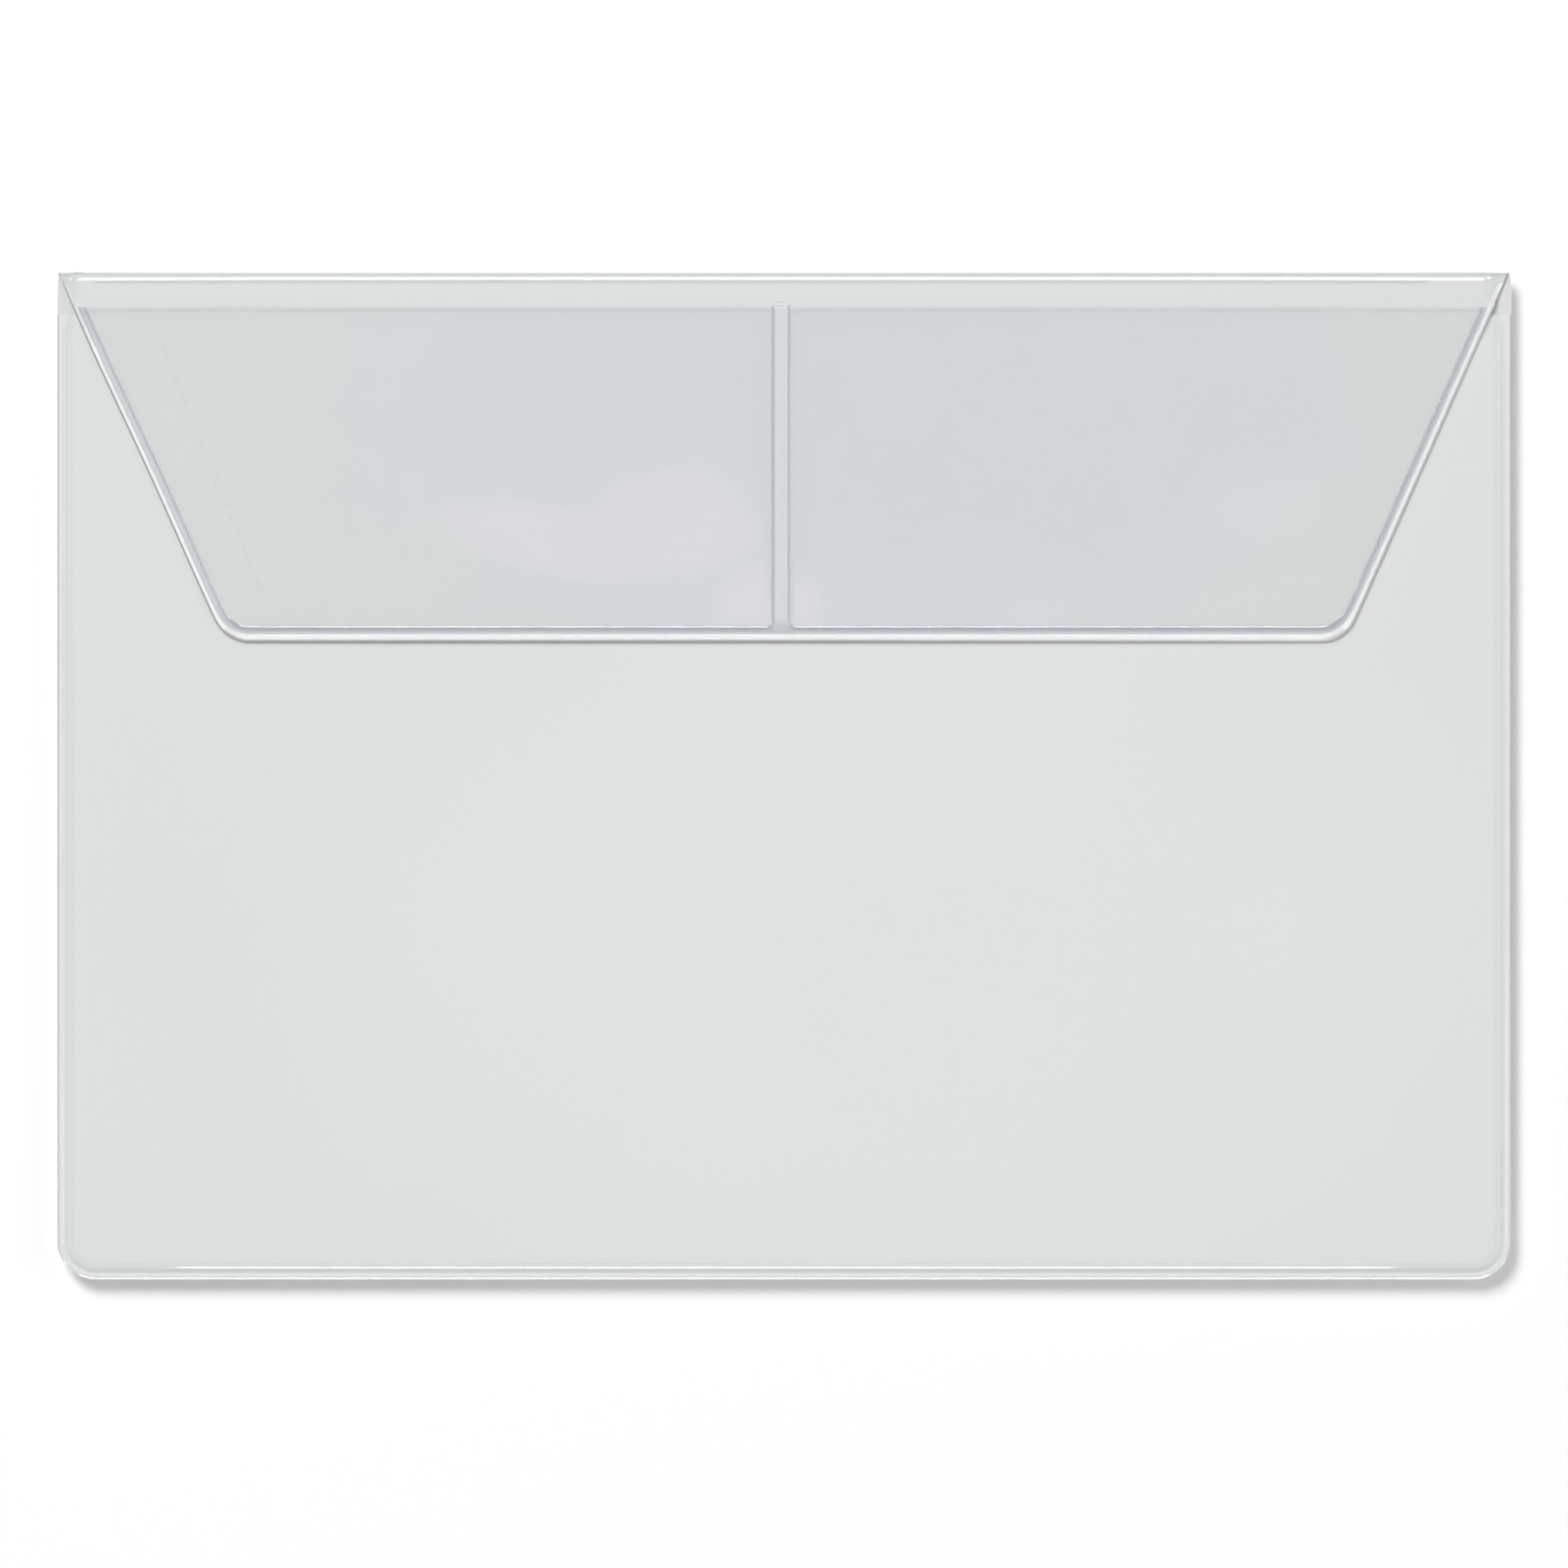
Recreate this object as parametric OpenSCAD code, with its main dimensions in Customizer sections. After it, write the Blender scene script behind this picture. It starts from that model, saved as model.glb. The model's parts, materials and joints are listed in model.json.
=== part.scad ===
// Flat vinyl holder for an owner's manual, lying on its back with the fold towards +Y.
// One white sheet makes the back, the fold and the flap, a second white sheet makes the front,
// and a clear film on the flap makes two card pockets. Pressed welds join the sheets at their edges.
// The two panels bow apart a little from their welds, and the flap lies flat on the front panel.

/* [Body] */
// Width across the side welds
body_w = 241.3; // [180:0.1:320]
// Height from the top of the fold to the bottom edge
body_h = 167.1; // [130:0.1:260]
// Outside radius of the two bottom corners
body_r = 6.4; // [4:0.1:20]
// Thickness of the white sheet
sheet_t = 0.35; // [0.2:0.05:0.8]

/* [Manual pocket] */
// Room between the back panel and the front panel
pocket_depth = 4.8; // [3:0.1:12]
// Width over which a panel curves from its weld up to its flat
slope_w = 13; // [8:0.5:30]
// Distance from the top of the fold to the mouth of the pocket
mouth_drop = 7; // [5:0.5:40]

/* [Body welds] */
// Width of a weld, from the outer edge to the panels
weld_w = 2; // [1.5:0.1:3.5]
// Diameter of the melted bead along the outer edge
bead_d = 0.8; // [0.5:0.05:1.2]
// Thickness of the pressed web inside the bead
web_t = 0.4; // [0.2:0.05:0.5]

/* [Flap] */
// How far each end of the fold sits inside the side of the body
flap_inset = 0.65; // [0:0.05:6]
// Distance from the top of the fold to the lower edge of the flap
flap_drop = 61.1; // [40:0.1:100]
// Lean of the sides of the flap from straight down, in degrees
flap_slant = 24; // [5:0.5:35]
// Outside radius of the lower corners of the flap
flap_r = 6.2; // [4:0.1:20]
// Clearance between the front panel and the flap that lies on it
flap_gap = 0.3; // [0.2:0.05:1]
// Width of the rounded fold, seen from the front
fold_w = 1.75; // [1:0.05:2.4]

/* [Flap welds] */
// Width of a weld on the flap, from the outer edge to the film
flap_weld_w = 2.2; // [1.8:0.1:3.5]
// Width of the bead along the outer edge of the flap
flap_bead_w = 0.9; // [0.4:0.05:1.2]
// Height of that bead above the underside of the flap
flap_bead_h = 0.9; // [0.5:0.05:1.2]
// Width of the pressed groove beside the bead
flap_groove_w = 0.8; // [0.3:0.05:1]

/* [Card pockets] */
// Thickness of the clear film
film_t = 0.2; // [0.1:0.05:0.5]
// Room for a card between the flap and the film
card_gap = 0.8; // [0.5:0.05:2]
// Distance from the top of the fold to the open edge of the film
film_drop = 5.7; // [3:0.1:12]
// Width of the weld that parts the two card pockets
divider_w = 2.3; // [1:0.1:6]
// Place of that weld, to the right of the middle
divider_x = -0.65; // [-20:0.05:20]

/* [Hidden] */
$fn = 96;

white_vinyl = [0.87, 0.88, 0.87];
pressed_vinyl = [0.84, 0.86, 0.86];
pressed_film = [0.78, 0.82, 0.88];
clear_film = [0.80, 0.85, 0.90, 0.45];
// Extra length on shapes that only cut
spare = 5;

// Heights: the welds lie midway between the panels, and the flap turns about the middle of the fold
rise = pocket_depth / 2;
weld_z = sheet_t + rise;
flap_z = 2 * sheet_t + pocket_depth + flap_gap;
hinge_z = (flap_z + sheet_t) / 2;
film_z = flap_z + sheet_t + card_gap;

// Places along Y
top_y = body_h / 2;
hinge_y = top_y - fold_w;
mouth_y = top_y - mouth_drop;
film_y = top_y - film_drop;
bottom_y = -body_h / 2;
flap_bottom_y = top_y - flap_drop;

// The panels lie flat on each other from the weld to where the corner arc leaves them, then curve
inner_r = body_r - weld_w;
land_w = inner_r * (1 - cos(45));
curve_x = body_w / 2 - weld_w - land_w;
curve_y = bottom_y + weld_w + land_w;
curve_r = (slope_w * slope_w + rise * rise) / (2 * rise);
curve_angle = asin(slope_w / curve_r);
curve_steps = 8;
fold_steps = 6;
corner_steps = 11;

// Centre of the right lower corner of the flap
flap_w = body_w - 2 * flap_inset;
flap_corner_y = flap_bottom_y + flap_r;
flap_corner_x = flap_w / 2
    - ((flap_drop - flap_r) * sin(flap_slant) + flap_r) / cos(flap_slant);
// Where the side welds of the flap give way to the bottom one
flap_split_y = flap_corner_y - flap_r * sin(flap_slant);

// Height of the right side of a bow, as points from its flat top out to its land
side_curve = [
    for (step = [0 : curve_steps])
        let (turn = curve_angle * step / curve_steps)
            [curve_x - slope_w + curve_r * sin(turn), rise - curve_r * (1 - cos(turn))]
];
// The whole bow from side to side, from left to right and past both edges
side_bow = concat(
    [[-body_w, 0]],
    [for (step = [curve_steps : -1 : 0]) [-side_curve[step][0], side_curve[step][1]]],
    side_curve,
    [[body_w, 0]]
);
// The bow that rises from the bottom weld and runs on past the fold
end_bow = concat(
    [[-body_h, 0]],
    [for (step = [curve_steps : -1 : 0]) [curve_y + curve_x - side_curve[step][0], side_curve[step][1]]],
    [[body_h, rise]]
);

function raised(line, lift) = [for (p = line) [p[0], p[1] + lift]];
function backwards(line) = [for (i = [len(line) - 1 : -1 : 0]) line[i]];
// Outline of what lies between two lines that both run from left to right
function between(low, high) = concat(high, backwards(low));

// A prism of a section seen along Y, over the whole body and past both ends
module along_y(outline) {
    translate([0, body_h, 0])
        rotate([90, 0, 0])
            linear_extrude(2 * body_h)
                polygon(outline);
}

// A prism of a section seen along X, over the whole body and past both sides
module along_x(outline) {
    translate([-body_w, 0, 0])
        rotate([90, 0, 90])
            linear_extrude(2 * body_w)
                polygon(outline);
}

// The space under a bowed panel, from base up to lift above the welds' level
module bow(lift, base) {
    intersection() {
        along_y(between([[-body_w, base], [body_w, base]], raised(side_bow, weld_z + lift)));
        along_x(between([[-body_h, base], [body_h, base]], raised(end_bow, weld_z + lift)));
    }
}

// Outline of the body inside its welds, open upwards to end_y
module panel_outline(end_y) {
    half_w = body_w / 2 - weld_w;
    low_y = bottom_y + weld_w;
    translate([-half_w, low_y + inner_r])
        square([2 * half_w, end_y - low_y - inner_r]);
    translate([inner_r - half_w, low_y])
        square([2 * (half_w - inner_r), inner_r]);
    for (side = [-1, 1])
        translate([side * (half_w - inner_r), low_y + inner_r])
            circle(inner_r);
}

module bowed_panel(end_y) {
    intersection() {
        difference() {
            bow(sheet_t, -spare);
            bow(0, -2 * spare);
        }
        linear_extrude(2 * (weld_z + rise))
            panel_outline(end_y);
    }
}

// The back panel is the same bow turned downwards
module back_panel() {
    color(white_vinyl)
        translate([0, 0, 2 * weld_z])
            mirror([0, 0, 1])
                bowed_panel(hinge_y);
}

module front_panel() {
    color(white_vinyl)
        bowed_panel(mouth_y);
}

// Section of a body weld: the bead at the outer edge and the web that runs in to the panels
module weld_section() {
    translate([bead_d / 2, 0])
        circle(bead_d / 2);
    translate([bead_d / 2, -web_t / 2])
        square([weld_w - bead_d / 2, web_t]);
}

module side_weld() {
    color(pressed_vinyl)
        translate([-body_w / 2, hinge_y, weld_z])
            rotate([90, 0, 0])
                linear_extrude(hinge_y - bottom_y - body_r)
                    weld_section();
}

module left_weld() {
    side_weld();
}

module right_weld() {
    mirror([1, 0, 0])
        side_weld();
}

// The bottom weld runs round both corners
module bottom_weld() {
    straight = body_w - 2 * body_r;
    color(pressed_vinyl)
        translate([0, bottom_y, weld_z]) {
            translate([-straight / 2, 0, 0])
                rotate([90, 0, 90])
                    linear_extrude(straight)
                        weld_section();
            for (flip = [0, 1])
                mirror([flip, 0, 0])
                    translate([-straight / 2, body_r, 0])
                        rotate([0, 0, 180])
                            rotate_extrude(angle = 90)
                                translate([body_r, 0])
                                    mirror([1, 0])
                                        weld_section();
        }
}

// Outline of the flap, drawn in by inset, with its upper edge at end_y
module flap_outline(inset, end_y) {
    top_x = flap_w / 2 - inset / cos(flap_slant) - (top_y - end_y) * tan(flap_slant);
    corner = [flap_corner_x, flap_corner_y];
    round = [
        for (step = [0 : corner_steps])
            let (turn = -flap_slant - (90 - flap_slant) * step / corner_steps)
                corner + (flap_r - inset) * [cos(turn), sin(turn)]
    ];
    right = concat([[top_x, end_y]], round);
    polygon(concat(right, backwards([for (p = right) [-p[0], p[1]]])));
}

// A flat sheet of the flap's outline, from low to high
module flap_sheet(low, high, inset, end_y) {
    translate([0, 0, low])
        linear_extrude(high - low)
            flap_outline(inset, end_y);
}

// A strip along the flap's edge between two insets, from low to high
module flap_strip(low, high, outer, inner, end_y) {
    translate([0, 0, low])
        linear_extrude(high - low)
            difference() {
                flap_outline(outer, end_y);
                flap_outline(inner, end_y + spare);
            }
}

// The whole weld round the flap: web, bead, and the shoulder that carries the film
module flap_weld_ring() {
    shoulder = flap_bead_w + flap_groove_w;
    flap_strip(flap_z, flap_z + sheet_t, 0, flap_weld_w, hinge_y);
    flap_strip(flap_z, flap_z + flap_bead_h, 0, flap_bead_w, hinge_y);
    flap_strip(flap_z, film_z + film_t, shoulder, flap_weld_w, film_y);
}

// The weld on the right side of the flap, above the round corner
module flap_side_weld() {
    color(pressed_film)
        intersection() {
            flap_weld_ring();
            translate([0, flap_split_y, 0])
                cube([body_w, body_h, film_z + spare]);
        }
}

module flap_left_weld() {
    mirror([1, 0, 0])
        flap_side_weld();
}

module flap_right_weld() {
    flap_side_weld();
}

// The bottom weld of the flap runs round both corners
module flap_bottom_weld() {
    color(pressed_film)
        intersection() {
            flap_weld_ring();
            translate([-body_w / 2, flap_split_y - body_h, 0])
                cube([body_w, body_h, film_z + spare]);
        }
}

module flap_panel() {
    color(white_vinyl)
        flap_sheet(flap_z, flap_z + sheet_t, flap_weld_w, hinge_y);
}

module card_film() {
    color(clear_film)
        flap_sheet(film_z, film_z + film_t, flap_weld_w, film_y);
}

// The weld between the two card pockets joins the film to the flap
module divider_weld() {
    low_y = flap_bottom_y + flap_weld_w;
    color(pressed_film)
        translate([divider_x - divider_w / 2, low_y, flap_z + sheet_t])
            cube([divider_w, film_y - low_y, card_gap]);
}

// Section of the fold drawn in by skin, as seen along X and reaching back from the hinge line
function fold_section(skin, back) =
    let (r = fold_w - skin, low = fold_w, high = 2 * hinge_z - fold_w)
        concat(
            [[hinge_y - back, skin]],
            [for (turn = [-90 : 90 / fold_steps : 0]) [hinge_y + r * cos(turn), low + r * sin(turn)]],
            [for (turn = [0 : 90 / fold_steps : 90]) [hinge_y + r * cos(turn), high + r * sin(turn)]],
            [[hinge_y - back, 2 * hinge_z - skin]]
        );

// The space that section sweeps above the back panel's bow, which pinches both ends
module fold_space(skin, back) {
    ceiling = 2 * hinge_z + spare;
    floor_line = [for (p = side_bow) [p[0], weld_z - sheet_t + skin - p[1]]];
    intersection() {
        along_x(fold_section(skin, back));
        along_y(between(floor_line, [[-body_w, ceiling], [body_w, ceiling]]));
    }
}

// The fold carries the back panel's sheet round to the flap
module fold_hinge() {
    end_x = flap_w / 2 - fold_w * tan(flap_slant);
    color(white_vinyl)
        intersection() {
            difference() {
                fold_space(0, 0);
                fold_space(sheet_t, spare);
            }
            translate([-end_x, hinge_y - spare, -spare])
                cube([2 * end_x, fold_w + 2 * spare, 2 * (hinge_z + spare)]);
        }
}

back_panel();
front_panel();
left_weld();
bottom_weld();
right_weld();
fold_hinge();
flap_panel();
flap_left_weld();
flap_bottom_weld();
flap_right_weld();
divider_weld();
card_film();
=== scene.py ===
# %% [markdown]
# A flat vinyl holder for an owner's manual, finished in Blender. The real one is three thin sheets
# that a hot press welds together: a white back that folds over into the flap, a white front, and a
# clear film on the flap that makes two card pockets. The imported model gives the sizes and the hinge,
# and each plain solid in it is replaced here by a sheet or a weld that looks like the real one.

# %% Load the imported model
import json
import math

import bpy
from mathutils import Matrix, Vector


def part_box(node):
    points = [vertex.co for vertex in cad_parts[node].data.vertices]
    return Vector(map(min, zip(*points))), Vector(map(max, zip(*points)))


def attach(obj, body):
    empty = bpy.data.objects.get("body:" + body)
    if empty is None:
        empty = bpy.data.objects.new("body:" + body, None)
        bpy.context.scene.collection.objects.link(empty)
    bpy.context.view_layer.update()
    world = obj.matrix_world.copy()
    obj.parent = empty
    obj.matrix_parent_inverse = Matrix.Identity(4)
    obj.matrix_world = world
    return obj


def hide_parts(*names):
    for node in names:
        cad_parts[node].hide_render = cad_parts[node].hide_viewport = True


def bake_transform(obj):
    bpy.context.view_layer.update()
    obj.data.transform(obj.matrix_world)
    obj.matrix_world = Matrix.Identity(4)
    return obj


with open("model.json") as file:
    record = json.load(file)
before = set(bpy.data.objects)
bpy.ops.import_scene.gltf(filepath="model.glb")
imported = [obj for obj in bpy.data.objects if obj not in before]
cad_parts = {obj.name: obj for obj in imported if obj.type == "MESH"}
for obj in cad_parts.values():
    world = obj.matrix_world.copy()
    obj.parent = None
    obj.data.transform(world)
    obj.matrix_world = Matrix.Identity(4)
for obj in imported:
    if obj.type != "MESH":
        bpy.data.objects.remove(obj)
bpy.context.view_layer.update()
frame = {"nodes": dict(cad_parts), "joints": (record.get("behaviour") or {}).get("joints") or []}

print("nodes:", sorted(frame["nodes"]))

# %% [markdown]
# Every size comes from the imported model, so that the looks follow it if it changes. A node's box
# gives the outside of a piece. Two of the boxes together give the lean of the flap's sides: the flap
# panel and the film end at different heights along the same slanted line. The height of a bottom
# weld gives the radius of its corners, because the weld runs just as far up as the corners reach.

# %% Read the sizes
MM = 0.001

left_low, left_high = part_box("left_weld")
bottom_low, bottom_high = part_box("bottom_weld")
front_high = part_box("front_panel")[1]
flap_low, flap_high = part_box("flap_panel")
film_low, film_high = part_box("card_film")
flap_weld_low, flap_weld_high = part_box("flap_bottom_weld")
divider_low, divider_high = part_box("divider_weld")
hinge = Vector(frame["joints"][0]["pos_m"])

body_half = -left_low.x
body_bottom = bottom_low.y
body_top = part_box("fold_hinge")[1].y
body_radius = bottom_high.y - bottom_low.y
weld_w = left_high.x - left_low.x
weld_z = (left_low.z + left_high.z) / 2
mouth_y = front_high.y
sheet_t = flap_high.z - flap_low.z
film_t = film_high.z - film_low.z
rise = front_high.z - weld_z - sheet_t

flap_bottom = flap_weld_low.y
slant = math.atan2(flap_high.x - film_high.x, flap_high.y - film_high.y)
flap_radius = (flap_weld_high.y - flap_weld_low.y) / (1 - math.sin(slant))
flap_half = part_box("flap_right_weld")[1].x + (body_top - hinge.y) * math.tan(slant)
corner_y = flap_bottom + flap_radius
corner_x = flap_half - ((body_top - corner_y) * math.sin(slant) + flap_radius) / math.cos(slant)

print(f"body {2 * body_half / MM:.1f} x {(body_top - body_bottom) / MM:.1f} mm")
print(f"flap lean {math.degrees(slant):.1f} degrees")
print(f"corners {body_radius / MM:.1f} mm on the body, {flap_radius / MM:.1f} mm on the flap")

# %% [markdown]
# The photograph looks straight down on the holder. A long lens far away keeps its edges as straight
# as they are in the photograph. An orthographic camera would do that too, but a perspective one can
# also be moved round the object later. The picture is square, and the sensor's width is the picture's
# width, so the distance follows from how many millimetres the picture spans.

# %% Camera
PHOTO_SIDE_PX = 1800
PX_PER_MM = 6.917
PHOTO_CENTRE_PX = (900.5, 891)
LENS_MM = 300
SENSOR_MM = 36

span = PHOTO_SIDE_PX / PX_PER_MM * MM
camera_data = bpy.data.cameras.new("camera")
camera_data.lens = LENS_MM
camera_data.sensor_width = SENSOR_MM
camera = bpy.data.objects.new("camera", camera_data)
bpy.context.scene.collection.objects.link(camera)
camera.location = (
    (PHOTO_SIDE_PX / 2 - PHOTO_CENTRE_PX[0]) / PX_PER_MM * MM,
    (PHOTO_CENTRE_PX[1] - PHOTO_SIDE_PX / 2) / PX_PER_MM * MM,
    weld_z + span * LENS_MM / SENSOR_MM,
)
bpy.context.scene.camera = camera
print(f"the picture spans {span / MM:.1f} mm, seen from {camera.location.z:.2f} m")

# %% [markdown]
# Materials are node graphs, and a long graph is easier to read as arithmetic. This class wraps one
# output socket. Adding or multiplying two of them adds a Math node, and one method makes any other
# node from its type, its settings and its inputs.

# %% Shader arithmetic
class Wire:
    """An output socket that takes part in Python expressions."""

    def __init__(self, socket):
        self.socket = socket

    @staticmethod
    def node(tree, kind, settings=None, inputs=None, output=0):
        """Adds a node: its settings first, then the values or wires of its sockets."""
        made = tree.nodes.new(kind)
        for name, value in (settings or {}).items():
            setattr(made, name, value)
        for name, value in (inputs or {}).items():
            if isinstance(value, Wire):
                tree.links.new(value.socket, made.inputs[name])
            else:
                made.inputs[name].default_value = value
        return Wire(made.outputs[output])

    def math(self, operation, first, second):
        tree = self.socket.id_data
        return Wire.node(tree, "ShaderNodeMath", {"operation": operation}, {0: first, 1: second})

    def __add__(self, other):
        return self.math("ADD", self, other)

    def __radd__(self, other):
        return self.math("ADD", other, self)

    def __sub__(self, other):
        return self.math("SUBTRACT", self, other)

    def __rsub__(self, other):
        return self.math("SUBTRACT", other, self)

    def __mul__(self, other):
        return self.math("MULTIPLY", self, other)

    def __rmul__(self, other):
        return self.math("MULTIPLY", other, self)

    def __pow__(self, other):
        return self.math("POWER", self, other)


def new_material(name):
    """An empty material, its node tree and the place where its surface goes."""
    material = bpy.data.materials.new(name)
    material.use_nodes = True
    tree = material.node_tree
    tree.nodes.clear()
    return material, tree, tree.nodes.new("ShaderNodeOutputMaterial").inputs["Surface"]


def place_on(tree):
    """Coordinates that stay with the piece, in metres."""
    return Wire.node(tree, "ShaderNodeTexCoord", output="Object")


def noise(tree, where, size, detail=2.0):
    """Soft random spots of about this size in metres, from 0 to 1."""
    return Wire.node(
        tree, "ShaderNodeTexNoise", None, {"Vector": where, "Scale": 1 / size, "Detail": detail}
    )


def ramp(tree, value, low, high):
    """0 below low and 1 above high, easing between them."""
    return Wire.node(
        tree,
        "ShaderNodeMapRange",
        {"interpolation_type": "SMOOTHSTEP"},
        {"Value": value, "From Min": low, "From Max": high},
    )


def blend_colours(tree, share, first, second):
    """A colour between two others."""
    return Wire.node(
        tree, "ShaderNodeMix", {"data_type": "RGBA"}, {0: share, 6: first, 7: second}, output=2
    )


def mix_shaders(tree, share, first, second):
    """A surface between two others."""
    return Wire.node(tree, "ShaderNodeMixShader", None, {0: share, 1: first, 2: second})


def painted(tree, name):
    """A number that the mesh stores at each of its points."""
    settings = {"attribute_name": name, "attribute_type": "GEOMETRY"}
    return Wire.node(tree, "ShaderNodeAttribute", settings, output="Fac")


print("shader arithmetic ready")

# %% [markdown]
# White vinyl sheet is white with a satin shine. Close up it has a very fine grain from the roller that
# finished it, and broad, faint patches where it is a little thicker or greener. The grain goes into a
# Bump node, and the patches into the colour and the roughness. The colour is also painted paler in a
# broad oval near the middle and deeper away from it, which is a painted pool of light. Along the fold's
# edge and crease, in the pinched corners and in the slivers of the back beside the flap, the sheet is
# painted greyer as painted shade and shadow. Where it rolls down to a weld or a fold it is smoother
# than on its satin flat. The mesh stores those places.

# %% White vinyl
GRAIN_SIZE = 0.35 * MM
PATCH_SIZE = 45 * MM
LIGHT_POOL_CENTRE = (20 * MM, -28 * MM)
LIGHT_POOL_HALF = (115 * MM, 75 * MM)
SMOOTH = 0.13
SATIN = 0.37
VINYL_IOR = 1.5
VINYL_SHINE = 0.8


def oval(tree, where, centre, half_size, turn=0.0):
    """Square of the distance from the middle of a turned oval, 1 on its edge."""
    settings = {"vector_type": "TEXTURE"}
    inputs = {
        "Vector": where,
        "Location": (*centre, 0),
        "Rotation": (0, 0, turn),
        "Scale": (*half_size, 1),
    }
    local = Wire.node(tree, "ShaderNodeMapping", settings, inputs)
    axes = tree.nodes.new("ShaderNodeSeparateXYZ")
    tree.links.new(local.socket, axes.inputs[0])
    along, across = Wire(axes.outputs[0]), Wire(axes.outputs[1])
    return along * along + across * across


def vinyl_grain(tree, where, depth):
    """Normals of a very fine grain."""
    grain = noise(tree, where, GRAIN_SIZE, 3.0)
    settings = {"Height": grain, "Strength": 0.2, "Distance": depth}
    return Wire.node(tree, "ShaderNodeBump", None, settings)


def sheet_material():
    material, tree, surface = new_material("white_vinyl")
    where = place_on(tree)
    patches = ramp(tree, noise(tree, where, PATCH_SIZE), 0.3, 0.7)
    pale = (0.727, 0.743, 0.735, 1)
    deep = (0.692, 0.712, 0.703, 1)
    # The grey below is painted shade and shadow, laid on where the mesh's crease attribute says.
    painted_shade = (0.45, 0.475, 0.48, 1)
    # Painted light: paler in a broad oval near the middle and deeper away from it.
    out_of_light_pool = ramp(tree, oval(tree, where, LIGHT_POOL_CENTRE, LIGHT_POOL_HALF), 0.1, 1.1)
    even = blend_colours(tree, 0.25 * patches + 0.75 * out_of_light_pool, pale, deep)
    shaded = Wire.node(
        tree,
        "ShaderNodeBsdfPrincipled",
        None,
        {
            "Base Color": blend_colours(tree, painted(tree, "crease"), even, painted_shade),
            "Roughness": SMOOTH + 0.05 * patches + SATIN * painted(tree, "satin"),
            "IOR": VINYL_IOR,
            "Specular IOR Level": VINYL_SHINE,
            "Normal": vinyl_grain(tree, where, 0.01 * MM),
        },
    )
    tree.links.new(shaded.socket, surface)
    return material


white_vinyl = sheet_material()
print("material:", white_vinyl.name)

# %% [markdown]
# A weld is the same vinyl, melted and pressed, so it is smoother and glossier than the sheet. Its bead
# is clear white, where the melted vinyl was squeezed out, and its groove is darker, partly because the
# die has pressed it thin and partly as painted shade. The film's weld is a little blue there. The cut
# rim is painted grey, as painted shade and shadow beside the edge. The mesh stores where the groove and
# the rim are.

# %% Pressed welds
DIE_MARK_SIZE = 9 * MM
PRESSED_SMOOTH = 0.12


# The groove colour is partly painted shade, and the rim colour is painted shade and shadow.
def weld_material(name, bead, groove, worn, rim_shade):
    material, tree, surface = new_material(name)
    where = place_on(tree)
    uneven = ramp(tree, noise(tree, where, DIE_MARK_SIZE), 0.3, 0.7)
    die_marked = blend_colours(tree, uneven, groove, worn)
    coloured = blend_colours(tree, painted(tree, "groove"), bead, die_marked)
    shaded = Wire.node(
        tree,
        "ShaderNodeBsdfPrincipled",
        None,
        {
            "Base Color": blend_colours(tree, painted(tree, "rim_shade"), coloured, rim_shade),
            "Roughness": PRESSED_SMOOTH + 0.05 * uneven,
            "IOR": VINYL_IOR,
            "Specular IOR Level": VINYL_SHINE,
            "Normal": vinyl_grain(tree, where, 0.004 * MM),
        },
    )
    tree.links.new(shaded.socket, surface)
    return material


pressed_vinyl = weld_material(
    "pressed_vinyl",
    bead=(0.74, 0.76, 0.75, 1),
    groove=(0.565, 0.595, 0.59, 1),
    worn=(0.545, 0.575, 0.57, 1),
    rim_shade=(0.43, 0.44, 0.44, 1),
)
pressed_film = weld_material(
    "pressed_film",
    bead=(0.80, 0.81, 0.81, 1),
    groove=(0.52, 0.55, 0.58, 1),
    worn=(0.50, 0.54, 0.57, 1),
    rim_shade=(0.30, 0.31, 0.32, 1),
)
print("materials:", pressed_vinyl.name, pressed_film.name)

# %% [markdown]
# The film is clear vinyl. Light goes straight through most of it, so a Transparent shader does the
# work, with a little blue. A Glossy shader adds the shine, more at a glancing angle. In some patches the
# film is painted clearer and paler, with less shine, as a painted glare. A thin white haze stands for
# handling marks. Where the film bends down into a weld it is painted darker as painted shade, and a
# little so where its open edge curls and along that edge. The mesh stores those places.

# %% Clear film
# Each place on the film is its middle and half its size in millimetres, and its turn in degrees.
GLARE_PATCHES = (
    ((-37.7, 39.2), (21, 6), -12),
    ((-18.9, 42.1), (15, 9.5), 0),
    ((-3, 29), (9, 6.5), 0),
)
FAINT_GLARE_PATCH = ((80, 45), (12, 7), 0)
SLANTED_GLARE_PATCH = ((-99.8, 50.7), (30, 4.6), -67.5)
SCUFF_LINE = ((-94.8, 50.7), (27, 0.4), -68.2)
BLUE_PATCH = ((8, 60), (85, 45), 0)
FAINT_GLARE = 0.3
SCUFF_SIZE = 0.5 * MM
UNEVEN_SIZE = 22 * MM
RAGGED_SIZE = 7 * MM


def patch(tree, where, ragged, centre, half_size, degrees):
    """1 inside a turned oval with a soft, ragged edge, and 0 outside. Sizes are in millimetres."""
    centre_m = [value * MM for value in centre]
    half_m = [value * MM for value in half_size]
    return 1 - ramp(tree, oval(tree, where, centre_m, half_m, math.radians(degrees)) + ragged, 0.4, 1.3)


def tint(tree, colour):
    """Film that lets this share of each colour of light through."""
    return Wire.node(tree, "ShaderNodeBsdfTransparent", None, {"Color": colour})


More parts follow.
